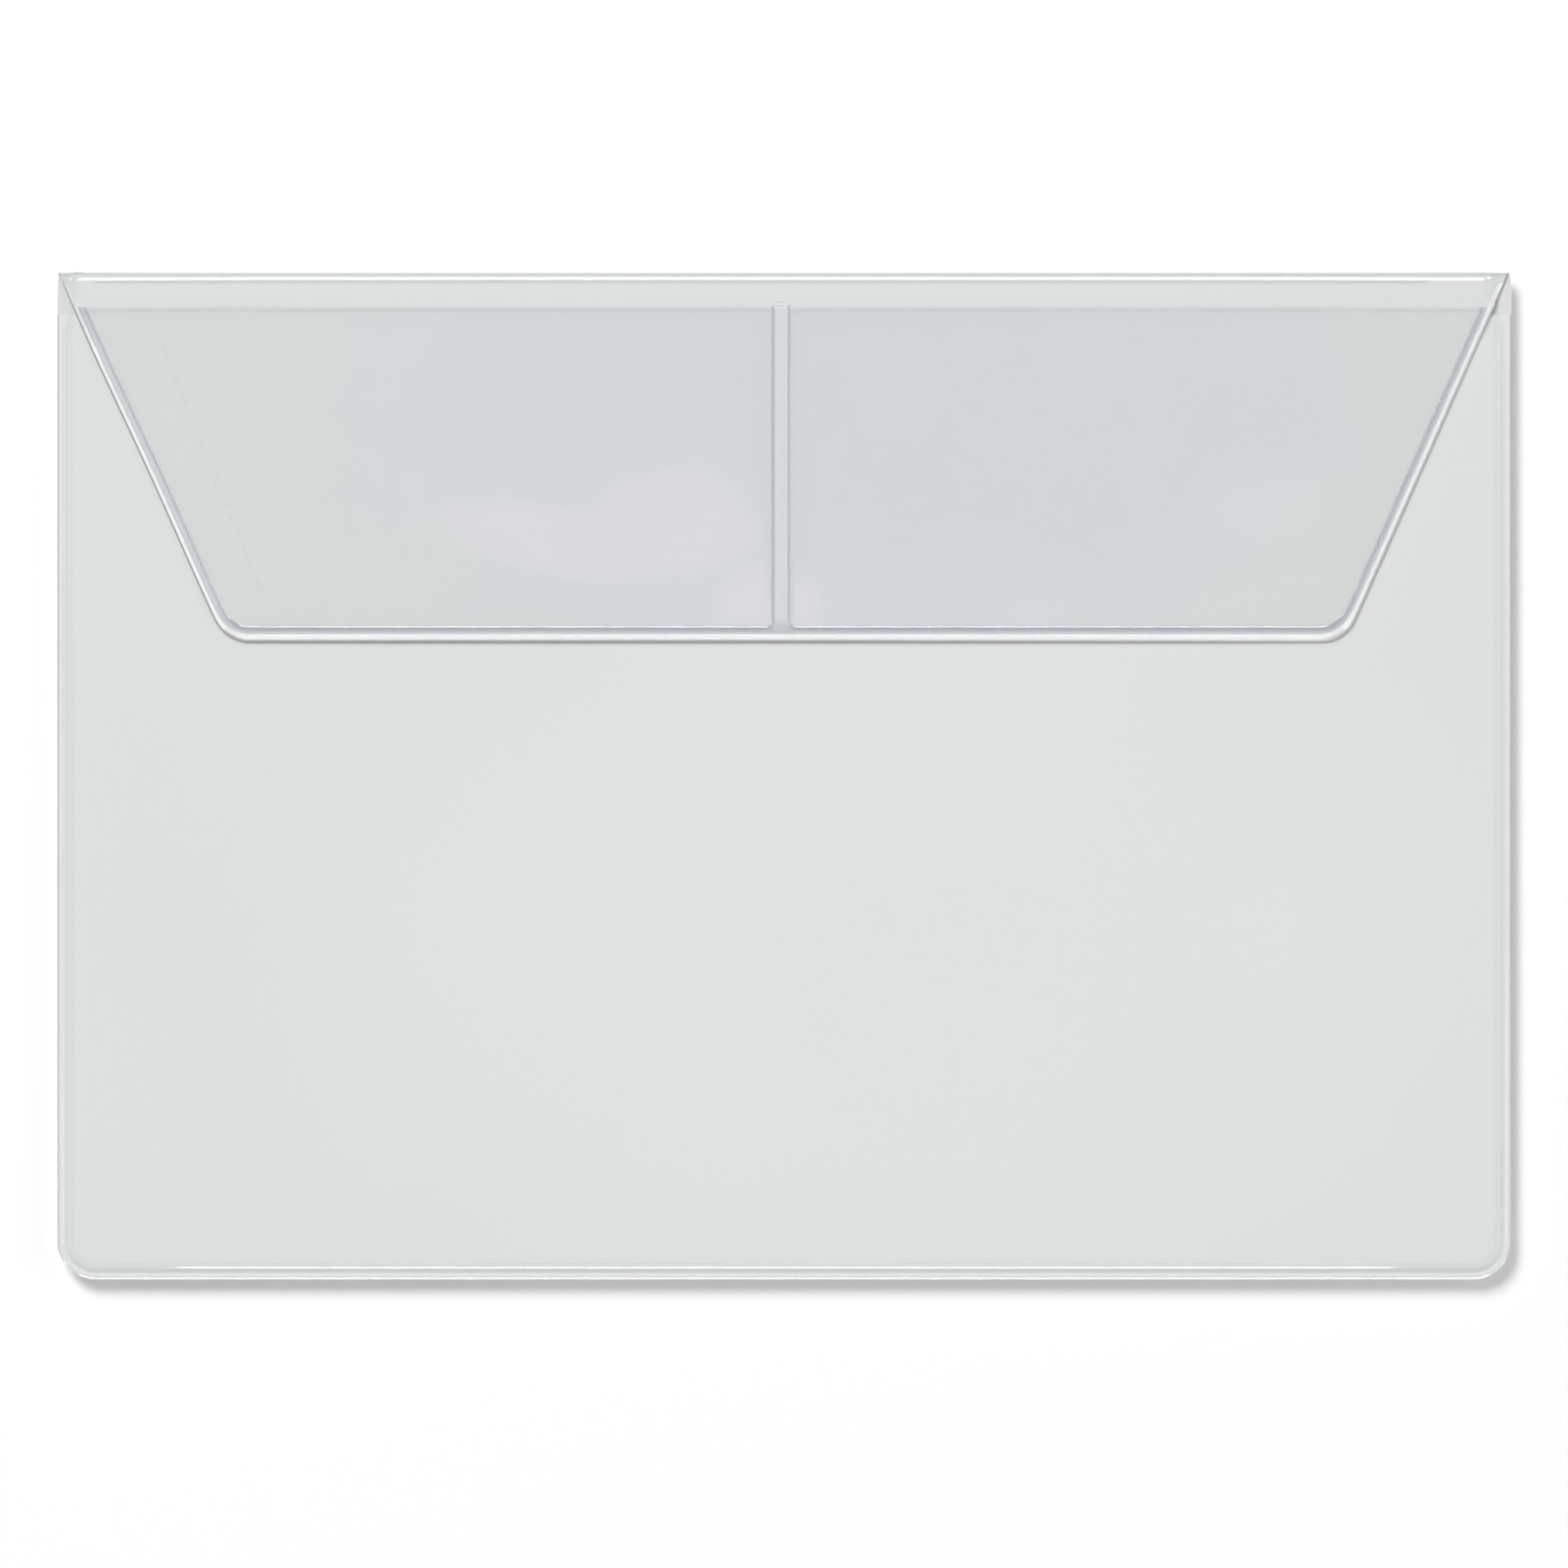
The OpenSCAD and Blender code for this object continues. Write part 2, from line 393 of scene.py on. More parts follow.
def film_material():
    material, tree, surface = new_material("clear_film")
    where = place_on(tree)
    uneven = noise(tree, where, UNEVEN_SIZE, 1.0)
    ragged = 0.9 * noise(tree, where, RAGGED_SIZE, 3.0) - 0.45
    blue = tint(tree, (0.987, 0.990, 1.0, 1))
    grey = tint(tree, (0.996, 0.996, 0.996, 1))
    glare_tint = tint(tree, (0.996, 0.989, 1.0, 1))
    # This darker tint is painted shade where the film bends into its welds and at its open edge.
    dark = tint(tree, (0.895, 0.90, 0.92, 1))
    hazy = Wire.node(
        tree, "ShaderNodeBsdfPrincipled", None, {"Base Color": (0.78, 0.78, 0.82, 1), "Roughness": 0.4}
    )
    shiny = Wire.node(
        tree, "ShaderNodeBsdfGlossy", None, {"Color": (1, 1, 1, 1), "Roughness": 0.09 + 0.04 * uneven}
    )
    facing = Wire.node(tree, "ShaderNodeLayerWeight", None, {"Blend": 0.5}, output="Facing")

    # Painted glare: in these patches the film is clearer and paler, with less shine.
    faint_glare = patch(tree, where, ragged, *FAINT_GLARE_PATCH) + patch(tree, where, 0.0, *SLANTED_GLARE_PATCH)
    glare = FAINT_GLARE * faint_glare
    for spot in GLARE_PATCHES:
        glare = glare.math("MAXIMUM", glare, patch(tree, where, ragged, *spot))
    glare = glare * painted(tree, "flat")
    specks = ramp(tree, noise(tree, where, SCUFF_SIZE), 0.5, 0.65)
    scuff = patch(tree, where, 0.0, *SCUFF_LINE) * specks

    blueness = patch(tree, where, uneven - 0.5, *BLUE_PATCH)
    clear = mix_shaders(tree, glare, mix_shaders(tree, blueness, grey, blue), glare_tint)
    through = mix_shaders(tree, painted(tree, "bend"), clear, dark)
    marked = mix_shaders(tree, 0.01 + 0.05 * scuff, through, hazy)
    shine = (0.06 + 0.9 * facing**5) * (1 - 0.8 * glare)
    tree.links.new(mix_shaders(tree, shine, marked, shiny).socket, surface)
    return material


clear_film = film_material()
print("material:", clear_film.name)

# %% [markdown]
# A sheet starts as a grid primitive. Its rows and columns are put closer together where the sheet
# bends sharply, beside the welds, and wide apart where it is flat. A place function then moves each
# point of the grid, much as a sculptor would push it. Solidify gives the sheet its thickness, thinner
# where a weld has pressed it, and is applied.

# %% Making a sheet
THINNEST = 0.1


def graded(length, fine, coarse, both=True):
    """Distances from 0 to length: fine steps at the start, or at both ends, and coarse ones else."""
    growth = 1.3
    steps = []
    half = length / 2 if both else length
    step, reached = fine, 0.0
    while reached + step < half:
        steps.append(step)
        reached += step
        step = min(step * growth, coarse)
    steps.append(half - reached)
    if both:
        steps += steps[::-1]
    places = [0.0]
    for step in steps:
        places.append(places[-1] + step)
    return places


def select_only(piece):
    bpy.ops.object.select_all(action="DESELECT")
    piece.select_set(True)
    bpy.context.view_layer.objects.active = piece


def sheet_grid(name, columns, rows, place):
    """A grid with a point at place(column, row) for each of the columns and rows."""
    bpy.ops.object.select_all(action="DESELECT")
    bpy.ops.mesh.primitive_grid_add(x_subdivisions=len(columns) - 1, y_subdivisions=len(rows) - 1, size=2)
    piece = bpy.context.object
    piece.name = piece.data.name = name
    for vertex in piece.data.vertices:
        column = round((vertex.co.x + 1) / 2 * (len(columns) - 1))
        row = round((vertex.co.y + 1) / 2 * (len(rows) - 1))
        vertex.co = place(columns[column], rows[row])
    return piece


def thicken(piece, thickness, inwards=True, pressed=None):
    """Gives a sheet its thickness behind its faces, or before them.

    pressed(x, y) is the share of the thickness that is left at a point.
    """
    select_only(piece)
    solid = piece.modifiers.new("thickness", "SOLIDIFY")
    solid.thickness = thickness
    solid.offset = -1 if inwards else 1
    if pressed:
        group = piece.vertex_groups.new(name="full")
        for vertex in piece.data.vertices:
            group.add([vertex.index], pressed(vertex.co.x, vertex.co.y), "REPLACE")
        solid.vertex_group = "full"
        solid.thickness_vertex_group = THINNEST
    bpy.ops.object.modifier_apply(modifier="thickness")


def edit_all(piece, operator, **settings):
    """Runs an operator of edit mode on the whole of a mesh."""
    select_only(piece)
    bpy.ops.object.mode_set(mode="EDIT")
    bpy.ops.mesh.select_all(action="SELECT")
    operator(**settings)
    bpy.ops.object.mode_set(mode="OBJECT")


def face_outwards(piece):
    edit_all(piece, bpy.ops.mesh.normals_make_consistent, inside=False)


def smooth(piece, degrees=40):
    select_only(piece)
    bpy.ops.object.shade_smooth_by_angle(angle=math.radians(degrees))


def paint(piece, name, value):
    """Stores value(place) at each point of a mesh, for its material."""
    layer = piece.data.attributes.new(name, "FLOAT", "POINT")
    for vertex in piece.data.vertices:
        layer.data[vertex.index].value = value(vertex.co)


def finish_piece(piece, material, body, slot, *nodes):
    """Gives a piece its material, attaches it to the body that it moves with, and hides the imported parts
    that it stands for.
    """
    piece.data.materials.clear()
    piece.data.materials.append(material)
    if body:
        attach(piece, body)
    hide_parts(*nodes)
    print(f"{piece.name}: {len(piece.data.polygons)} faces")


print("sheet tools ready")

# %% [markdown]
# Shapes here come from five small curves. An ease goes from 0 to 1 with level ends. A bell is 1 in its
# middle and fades on both sides. A rounded rise starts steeply and levels off. A straight rise is a
# slope with rounded ends, for a wall that mirrors a lamp all along. A curve through points is a smooth
# line through a few chosen heights, for the film's edge and the fold.

# %% Curves
def clamp(value):
    return min(max(value, 0.0), 1.0)


def ease(low, high, value):
    """0 below low and 1 above high, with a smooth step between them."""
    share = clamp((value - low) / (high - low))
    return share * share * (3 - 2 * share)


def bell(width, distance):
    """1 where the distance is 0, and nearly 0 beyond two widths."""
    return math.exp(-((distance / width) ** 2))


def rounded_rise(share):
    """From 0 to 1, steep at first and level at the end."""
    return 1 - (1 - clamp(share)) ** 2


def straight_rise(share, rounding=0.12):
    """From 0 to 1 along a straight line with rounded ends."""
    share = clamp(share)
    if share > 0.5:
        return 1 - straight_rise(1 - share, rounding)
    start = share**2 / (2 * rounding) if share < rounding else share - rounding / 2
    return start / (1 - rounding)


def curve_through(points, where):
    """Height of the smooth curve through (place, height) points, at a place."""
    last = len(points) - 1
    where = min(max(where, points[0][0]), points[last][0])
    index = next(i for i in range(last) if where <= points[i + 1][0])

    def slope(i):
        before, after = points[max(i - 1, 0)], points[min(i + 1, last)]
        return (after[1] - before[1]) / (after[0] - before[0])

    (start, low), (end, high) = points[index], points[index + 1]
    width = end - start
    t = (where - start) / width
    bend = width * (slope(index) * t * (1 - t) ** 2 - slope(index + 1) * t * t * (1 - t))
    return low * (1 + 2 * t) * (1 - t) ** 2 + high * t * t * (3 - 2 * t) + bend


print(f"a quarter of the way: ease {ease(0, 1, 0.25):.2f}, rounded rise {rounded_rise(0.25):.2f}")

# %% [markdown]
# The two panels bow gently apart from their welds, all over, with a short roll right beside the weld.
# Multiplying the bow from the sides by the bow from the bottom rounds it off in the corners. A
# faint, long wave keeps it from looking like a machined plate. Above the mouth of the pocket there is no
# front sheet to weld to, so there the back ends in a plain flat lip.

# %% The bow of the panels
BOW_SIDE_W = 60 * MM
BOW_LOW_W = 90 * MM
EDGE_RISE = 0.25 * MM
EDGE_W = 4 * MM
WAVE_H = 0.09 * MM
WAVE_L = 74 * MM
PRESSED_IN = 1.8 * MM
PRESSED_H = 0.12 * MM
WALL_W = 0.43 * MM
LIP_W = 2.5 * MM
LIP_DRAW = 0.12 * MM
LIP_FROM = 2 * MM
LIP_TO = 0.3 * MM
SLIVER_FROM = 109 * MM
SLIVER_TO = 113 * MM
CORNER_FROM = 22 * MM
CORNER_TO = 9 * MM
SIDE_WIDER = 2
CORNER_WIDER = 0.6 * SIDE_WIDER
RIPPLE_IN = 25 * MM


def wave(x, y):
    """A slow ripple of the sheet, from -1 to 1."""
    first = math.sin(math.tau * (x + 0.6 * y) / WAVE_L)
    second = math.sin(math.tau * (y - 0.35 * x) / (1.3 * WAVE_L) + 1.0)
    return 0.5 * (first + second)


def body_inside(x, y):
    """How far a point of the body lies inside its outer edge."""
    from_side = body_half - abs(x)
    from_bottom = y - body_bottom
    if from_side < body_radius and from_bottom < body_radius:
        return body_radius - math.hypot(body_radius - from_side, body_radius - from_bottom)
    return min(from_side, from_bottom)


def body_half_at(y, inset):
    """Half the width of the body, drawn in by inset, at a height in its corners or above them."""
    radius = body_radius - inset
    below = body_bottom + body_radius - y
    if below <= 0:
        return body_half - inset
    return body_half - body_radius + math.sqrt(max(radius**2 - below**2, 0.0))


def side_rise(from_weld):
    """How far a panel has risen at a distance from a side weld."""
    roll = EDGE_RISE * rounded_rise(from_weld / EDGE_W)
    return roll + (rise - EDGE_RISE) * rounded_rise(from_weld / BOW_SIDE_W)


def above_mouth(y):
    """1 above the mouth of the pocket, and 0 a little below it."""
    return ease(mouth_y - LIP_FROM, mouth_y - LIP_TO, y)


def in_sliver(x, y):
    """1 in the two slivers of the back that show beside the flap, above the mouth."""
    return above_mouth(y) * ease(SLIVER_FROM, SLIVER_TO, abs(x))


def panel_height(x, y, lip=0.0):
    """Height of a panel's outer face from the middle of the welds. lip is how plain its edge is."""
    inside = body_inside(x, y)
    up_side = ease(0.5 * body_radius, 1.2 * body_radius, y - body_bottom)
    near_corner = ease(body_half - CORNER_FROM, body_half - CORNER_TO, abs(x))
    wall_w = WALL_W * (1 + max(SIDE_WIDER * up_side, CORNER_WIDER * near_corner))
    wall = max(straight_rise((inside - PRESSED_IN) / wall_w), lip)
    side = side_rise(body_half - weld_w - lip * LIP_W - abs(x))
    low_roll = rounded_rise((inside - PRESSED_IN - WALL_W) / EDGE_W)
    low_bow = rounded_rise((y - body_bottom - weld_w) / BOW_LOW_W)
    bow = min(EDGE_RISE * low_roll, side) + max(side - EDGE_RISE, 0.0) * low_bow
    ripple = WAVE_H * wave(x, y) * ease(0, RIPPLE_IN, inside)
    return PRESSED_H + (sheet_t - PRESSED_H) * wall + bow + ripple


print(f"each panel rises by {rise / MM:.2f} mm from its welds")

# %% [markdown]
# The back and the front are sheets of nearly the same shape, so one function makes both. A grid suits
# them better than a box, because its points can lie close together just where the sheet bends. The
# back goes up to the fold and has its lip. The front stops at the mouth of the pocket. Beside the weld
# the vinyl is smooth, and further in it is satin.

# %% Back and front panels
PANEL_COLUMN_STEPS = (0.1 * MM, 5 * MM)
PANEL_ROW_STEPS = (0.03 * MM, 4 * MM)
LIP_ROWS = 8
DRAWN_FROM = 1.5 * MM
SATIN_FROM = 2.4 * MM
SATIN_TO = 3.4 * MM
SLIVER_SHADE = 0.05


def panel(name, top, side):
    """A panel of the pouch up to top, in front of the welds for side 1 and behind them for -1."""
    low = body_bottom + PRESSED_IN
    width = graded(2.0, *(step / body_half for step in PANEL_COLUMN_STEPS))
    columns = [share - 1 for share in width]
    rows = [low + up for up in graded(top - low, *PANEL_ROW_STEPS, both=side < 0)]
    if side < 0:
        rows = sorted(rows + [mouth_y - LIP_TO * step for step in range(LIP_ROWS)])

    def lip(y):
        return above_mouth(y) if side < 0 else 0.0

    def place(column, row):
        drawn = LIP_DRAW * ease(hinge.y - DRAWN_FROM, hinge.y, row) if side < 0 else 0.0
        x = column * (body_half_at(row, PRESSED_IN * (1 - lip(row))) - drawn)
        return Vector((x, row, weld_z + side * panel_height(x, row, lip(row))))

    def full(x, y):
        return max(ease(PRESSED_IN, PRESSED_IN + 2 * WALL_W, body_inside(x, y)), lip(y))

    piece = sheet_grid(name, columns, rows, place)
    thicken(piece, sheet_t, inwards=side > 0, pressed=full)
    face_outwards(piece)
    smooth(piece)
    return piece


def panel_satin(place):
    """1 on the flat of a panel, and 0 on the glossier roll beside its weld."""
    return ease(SATIN_FROM, SATIN_TO, body_inside(place.x, place.y))


back_sheet = panel("back_sheet", hinge.y, -1)
paint(back_sheet, "satin", panel_satin)
# Painted shade: the slivers of the back beside the flap are a little greyer.
paint(back_sheet, "crease", lambda place: SLIVER_SHADE * in_sliver(place.x, place.y))
finish_piece(back_sheet, white_vinyl, "pouch", "white_vinyl", "back_panel")
front_sheet = panel("front_sheet", mouth_y, 1)
paint(front_sheet, "satin", panel_satin)
finish_piece(front_sheet, white_vinyl, "pouch", "white_vinyl", "front_panel")

# %% [markdown]
# A weld is a long strip with the same section all along: a bead where the press squeezed the melted
# edge out, and a shallow groove where the die pressed. That is a shape for extrude and spin. A circle's
# points are moved to the section, extruded down one side, spun round the corner, and so on. The open
# ends are then filled.

# %% Making a weld
def swept_weld(name, section, start, inwards, base, moves):
    """Sweeps a closed section along straight moves and turns.

    The section is a list of (inwards, height) points, and start is its first place on the outer edge.
    A move is ("go", direction, length, steps) or ("turn", centre, angle, steps).
    """
    bpy.ops.object.select_all(action="DESELECT")
    bpy.ops.mesh.primitive_circle_add(vertices=len(section), radius=1 * MM)
    piece = bpy.context.object
    piece.name = piece.data.name = name
    for vertex, (inset, height) in zip(piece.data.vertices, section):
        flat = start + inwards * inset
        vertex.co = (flat.x, flat.y, base + height)
    bpy.ops.object.mode_set(mode="EDIT")
    bpy.ops.mesh.select_mode(type="EDGE")
    bpy.ops.mesh.select_all(action="SELECT")
    for kind, where, amount, steps in moves:
        if kind == "go":
            step = where * (amount / steps)
            for _ in range(steps):
                bpy.ops.mesh.extrude_region_move(
                    TRANSFORM_OT_translate={"value": (step.x, step.y, 0)}
                )
        else:
            bpy.ops.mesh.spin(
                steps=steps, angle=amount, center=(where.x, where.y, base), axis=(0, 0, -1)
            )
    bpy.ops.mesh.select_all(action="SELECT")
    bpy.ops.mesh.remove_doubles(threshold=0.001 * MM)
    bpy.ops.mesh.fill_holes(sides=0)
    bpy.ops.object.mode_set(mode="OBJECT")
    return piece


def in_millimetres(points):
    """Points in metres, from points written in millimetres."""
    return [(inset * MM, height * MM) for inset, height in points]


print("weld tools ready")

# %% [markdown]
# The pouch's weld runs down the left side, along the bottom and up the right side. Both panels are
# pressed alike, so its section is drawn once and mirrored. The bead is lower along the sides, and runs
# out in a flat edge at the mouth of the pocket. After the sweep a loop moves the points to get this,
# which is simpler than sweeping several sections.

# %% Weld round the pouch
BODY_WELD_TOP = in_millimetres(
    (
        (0, 0), (0.02, 0.1), (0.06, 0.17), (0.13, 0.213), (0.2, 0.256), (0.27, 0.299), (0.34, 0.342),
        (0.42, 0.365), (0.5, 0.365), (0.57, 0.37), (0.64, 0.41), (0.71, 0.435), (0.79, 0.41), (0.87, 0.31),
        (0.95, 0.21), (1.04, 0.165), (1.25, 0.15), (1.5, 0.145), (1.8, 0.15), (2.1, 0.12), (2.3, 0),
    )
)
body_weld_section = BODY_WELD_TOP + [(inset, -height) for inset, height in BODY_WELD_TOP[-2:0:-1]]
SIDE_LOWER = 0.4
PLATEAU_H = 0.3 * MM
PLATEAU_ROUND = 0.25 * MM
PLATEAU_END = (1.7 * MM, 2.0 * MM)
RUN_OUT = 3 * MM
LOW_GROOVE = (0.95 * MM, 1.25 * MM)
SIDE_GROOVE = (0.6 * MM, 1.9 * MM)
SIDE_GROOVE_SHARE = 0.55
BODY_RIM = (0.12 * MM, 0.34 * MM)
END_RUN = 8 * MM
END_STEPS = 24
SIDE_STEPS = 20
CORNER_STEPS = 20
BOTTOM_STEPS = 30
down, right, up = Vector((0, -1)), Vector((1, 0)), Vector((0, 1))
left_corner = Vector((body_radius - body_half, body_bottom + body_radius))
right_corner = Vector((body_half - body_radius, body_bottom + body_radius))
side_run = mouth_y - body_bottom - body_radius
body_weld = swept_weld(
    "body_weld",
    body_weld_section,
    Vector((-body_half, mouth_y)),
    right,
    weld_z,
    [
        ("go", down, END_RUN, END_STEPS),
        ("go", down, side_run - END_RUN, SIDE_STEPS),
        ("turn", left_corner, math.pi / 2, CORNER_STEPS),
        ("go", right, 2 * (body_half - body_radius), BOTTOM_STEPS),
        ("turn", right_corner, math.pi / 2, CORNER_STEPS),
        ("go", up, side_run - END_RUN, SIDE_STEPS),
        ("go", up, END_RUN, END_STEPS),
    ],
)


def near_mouth(y):
    """1 at the mouth of the pocket, and 0 some way below it."""
    return ease(mouth_y - RUN_OUT, mouth_y - LIP_TO, y)


def up_the_side(y):
    """0 along the bottom, and 1 above the corners."""
    return ease(0, body_radius, y - body_bottom)


for vertex in body_weld.data.vertices:
    place = vertex.co
    inside = body_inside(place.x, place.y)
    plain = near_mouth(place.y) * (1 - ease(*PLATEAU_END, inside))
    height = (place.z - weld_z) * (1 - SIDE_LOWER * up_the_side(place.y))
    plateau = math.copysign(PLATEAU_H * rounded_rise(inside / PLATEAU_ROUND), height)
    place.z = weld_z + height + (plateau - height) * plain
face_outwards(body_weld)
smooth(body_weld, 60)


def body_groove(place):
    """The groove is dark, partly as painted shade: all over along the bottom, and darkest inwards along
    the sides.
    """
    inside = body_inside(place.x, place.y)
    side = up_the_side(place.y)
    low_share = ease(*LOW_GROOVE, inside)
    side_share = SIDE_GROOVE_SHARE * ease(*SIDE_GROOVE, inside) * (1 - near_mouth(place.y))
    return low_share + (side_share - low_share) * side


def body_rim_shade(place):
    """Painted shade: the cut edge is grey along the sides."""
    return up_the_side(place.y) * (1 - ease(*BODY_RIM, body_inside(place.x, place.y)))


paint(body_weld, "groove", body_groove)
paint(body_weld, "rim_shade", body_rim_shade)
finish_piece(
    body_weld, pressed_vinyl, "pouch", "pressed_vinyl", "left_weld", "bottom_weld", "right_weld"
)

# %% [markdown]
# The flap lies on the front panel and follows its bow down to the side welds, where the fold is
# pinched. All the flap's pieces share this droop, so they stay together. The sheet itself reaches under
# its weld, and dips a little into the crease beside the fold and into the divider.

# %% The shape of the flap
FLAP_PRESSED_IN = 1.6 * MM
FLAP_PLAIN_IN = 0.5 * MM
CREASE_W = 1.15 * MM
CREASE_H = 0.235 * MM
PINCH_H = 0.45 * MM
PINCH_FROM = 115.5 * MM
PINCH_TO = 119.3 * MM
CHANNEL_H = 0.16 * MM
FILM_CUT = 0.06 * MM
CREASE_LEFT = (-115.2 * MM, -113 * MM)
CREASE_RIGHT = (105.5 * MM, 108 * MM)
PINCH_LOW = 0.2 * MM
PINCH_HIGH = 2 * MM
RIPPLE_SHARE = 0.8
CHANNEL_IN = 0.25 * MM
CHANNEL_OUT = 0.15 * MM
CHANNEL_END = 0.35 * MM
CREASE_SHADE = 0.5
CREASE_SHADE_UP = 0.1 * MM
CREASE_SHADE_W = 0.28 * MM
PINCH_SHADE = 0.24
divider_x = (divider_low.x + divider_high.x) / 2
divider_half = (divider_high.x - divider_low.x) / 2


def droop(x):
    """How far the flap hangs below its middle at this distance from it."""
    return rise * (1 - rounded_rise((body_half - weld_w - abs(x)) / BOW_SIDE_W))


def crease_share(x):
    """How much of the crease beside the fold there is: it runs out before both ends."""
    return ease(*CREASE_LEFT, x) * (1 - ease(*CREASE_RIGHT, x))


def pinched(x, y):
    """1 in the two corners beside the fold's ends, where the flap is pinched flat."""
    up = ease(film_high.y + PINCH_LOW, film_high.y + PINCH_HIGH, y)
    return ease(PINCH_FROM, PINCH_TO, abs(x)) * up


def drape(x, y):
    """How far the flap is below its middle at a point, with its share of the front's ripple."""
    ripple = RIPPLE_SHARE * WAVE_H * wave(x, y) * ease(0, RIPPLE_IN, body_half - abs(x))
    return droop(x) - ripple


def flap_half_at(y, inset):
    """Half the width of the flap, drawn in by inset, at this height."""
    radius = flap_radius - inset
    below = corner_y - y
    if below > radius * math.sin(slant):
        return corner_x + math.sqrt(max(radius**2 - below**2, 0.0))
    return flap_half - (body_top - y) * math.tan(slant) - inset / math.cos(slant)


def flap_inside(x, y):
    """How far a point of the flap lies inside its slanted sides and its lower edge."""
    side = (flap_half - (body_top - y) * math.tan(slant) - abs(x)) * math.cos(slant)
    out_x, out_y = abs(x) - corner_x, y - corner_y
    past_side = out_x * math.sin(slant) + out_y * math.cos(slant)
    if out_x > 0 and past_side < 0:
        return flap_radius - math.hypot(out_x, out_y)
    return min(side, y - flap_bottom)


def above_film(y):
    """1 above the film's open edge, and 0 below it."""
    return ease(film_high.y - FILM_CUT, film_high.y + FILM_CUT, y)


def flap_top(x, y):
    """Height of the upper face of the flap's sheet."""
    crease = CREASE_H * crease_share(x) * bell(CREASE_W, hinge.y - y)
    from_divider = abs(x - divider_x)
    across = 1 - ease(divider_half - CHANNEL_IN, divider_half + CHANNEL_OUT, from_divider)
    channel = CHANNEL_H * across * (1 - ease(film_high.y, film_high.y + CHANNEL_END, y))
    return flap_high.z - drape(x, y) - crease - channel - PINCH_H * pinched(x, y)


def painted_shade(x, y):
    """How much painted shade the flap has: along its crease, and in its pinched corners."""
    crease = CREASE_SHADE * crease_share(x) * bell(CREASE_SHADE_W, hinge.y + CREASE_SHADE_UP - y)
    return max(crease, PINCH_SHADE * pinched(x, y))


print(f"the flap droops by {droop(flap_half) / MM:.2f} mm at its corners")

# %% [markdown]
# The flap's sheet is a grid too. Near its ends the columns slant with the sides of the flap. Near its
# middle they stay upright, because the divider is upright. Extra columns keep the walls of the
# divider's channel sharp, and extra rows do the same where the film ends and the weld changes.

# %% Flap sheet
FLAP_ROW_STEPS = (0.1 * MM, 3 * MM)
FLAP_COLUMN_STEPS = (0.15 * MM, 4 * MM)
CHANNEL_REACH = 3 * MM
CHANNEL_STEP = 0.12 * MM
UPRIGHT_W = 60 * MM
SLACK = 0.02 * MM
FLAP_SATIN = (2 * MM, 5 * MM)


def beside_channel(middle, half, reach, fine):
    """Columns close together on both sides of a channel."""
    offsets = [half + fine * step for step in range(-4, 5)] + [0.4 * half, reach]
    return [middle + sign * offset for sign in (-1, 1) for offset in offsets]


flap_low_edge = flap_bottom + FLAP_PRESSED_IN
flap_rows = sorted(
    [flap_low_edge + up for up in graded(hinge.y - flap_low_edge, *FLAP_ROW_STEPS)]
    + [film_high.y + FILM_CUT * step for step in (-1, 0, 1)]
)
flap_columns = sorted(
    [share - 1 for share in graded(2.0, *(step / flap_half for step in FLAP_COLUMN_STEPS))]
    + [x / flap_half for x in beside_channel(divider_x, divider_half, CHANNEL_REACH, CHANNEL_STEP)]
)


def place_flap(column, row):
    inset = FLAP_PRESSED_IN + (FLAP_PLAIN_IN - FLAP_PRESSED_IN) * above_film(row)
    straight = column * flap_half
    sheared = column * flap_half_at(row, inset)
    outer = ease(0, UPRIGHT_W, abs(straight))
    x = straight + (sheared - straight) * outer
    return Vector((x, row, flap_top(x, row)))


flap_sheet = sheet_grid("flap_sheet", flap_columns, flap_rows, place_flap)
thicken(flap_sheet, sheet_t - SLACK)
smooth(flap_sheet)
# Painted shade along the crease and in the pinched corners.
paint(flap_sheet, "crease", lambda place: painted_shade(place.x, place.y))
paint(flap_sheet, "satin", lambda place: ease(*FLAP_SATIN, hinge.y - place.y))
finish_piece(flap_sheet, white_vinyl, "flap", "white_vinyl", "flap_panel")

# %% [markdown]
# The fold is the same white sheet, carried round from the back panel to the flap. It stands up in a
# small roll along the top edge, which catches the light, and a crease parts the roll from the flap. At
# both ends it is pinched nearly flat. On the real holder it bends when the flap opens. Here it is
# attached to neither body.

# %% Fold
NOSE_STEPS = (0, 30, 60, 90)
ROLL = in_millimetres(
    (
        (0.22, -0.22), (0.42, 0.03), (0.6, 0.15), (0.73, 0.19), (0.83, 0.168), (0.94, 0.1), (1.08, 0.007),
        (1.21, -0.079), (1.34, -0.165), (1.43, -0.21), (1.56, -0.23),
    )
)
PLAIN_ROLL_LIFT = 0.23 * MM
ROLL_END_LEFT = (117.3 * MM, 118.5 * MM)
ROLL_END_RIGHT = (115.9 * MM, 118.1 * MM)
CORNER_DRAW = 0.2 * MM
END_BEAD = in_millimetres(
    (
        (0, 0), (0.05, 0.02), (0.12, 0.065), (0.2, 0.116), (0.28, 0.167), (0.34, 0.2), (0.42, 0.215),
        (0.52, 0.2), (0.66, 0.12), (0.8, 0.04), (0.95, 0),
    )
)
FOLD_STEPS = ((0.06 * MM, 1 * MM), (0.15 * MM, 3 * MM), (0.3 * MM, 16 * MM), (3 * MM, body_half))
FOLD_ROWS_PER_POINT = 5
FOLD_UPPER = (1.2 * MM, 0.5 * MM)
FOLD_EDGE = (0.72 * MM, 0.5 * MM)
FOLD_EDGE_SHADE = 0.58
FOLD_CUT = (0.1 * MM, 0.24 * MM)
nose = body_top - hinge.y

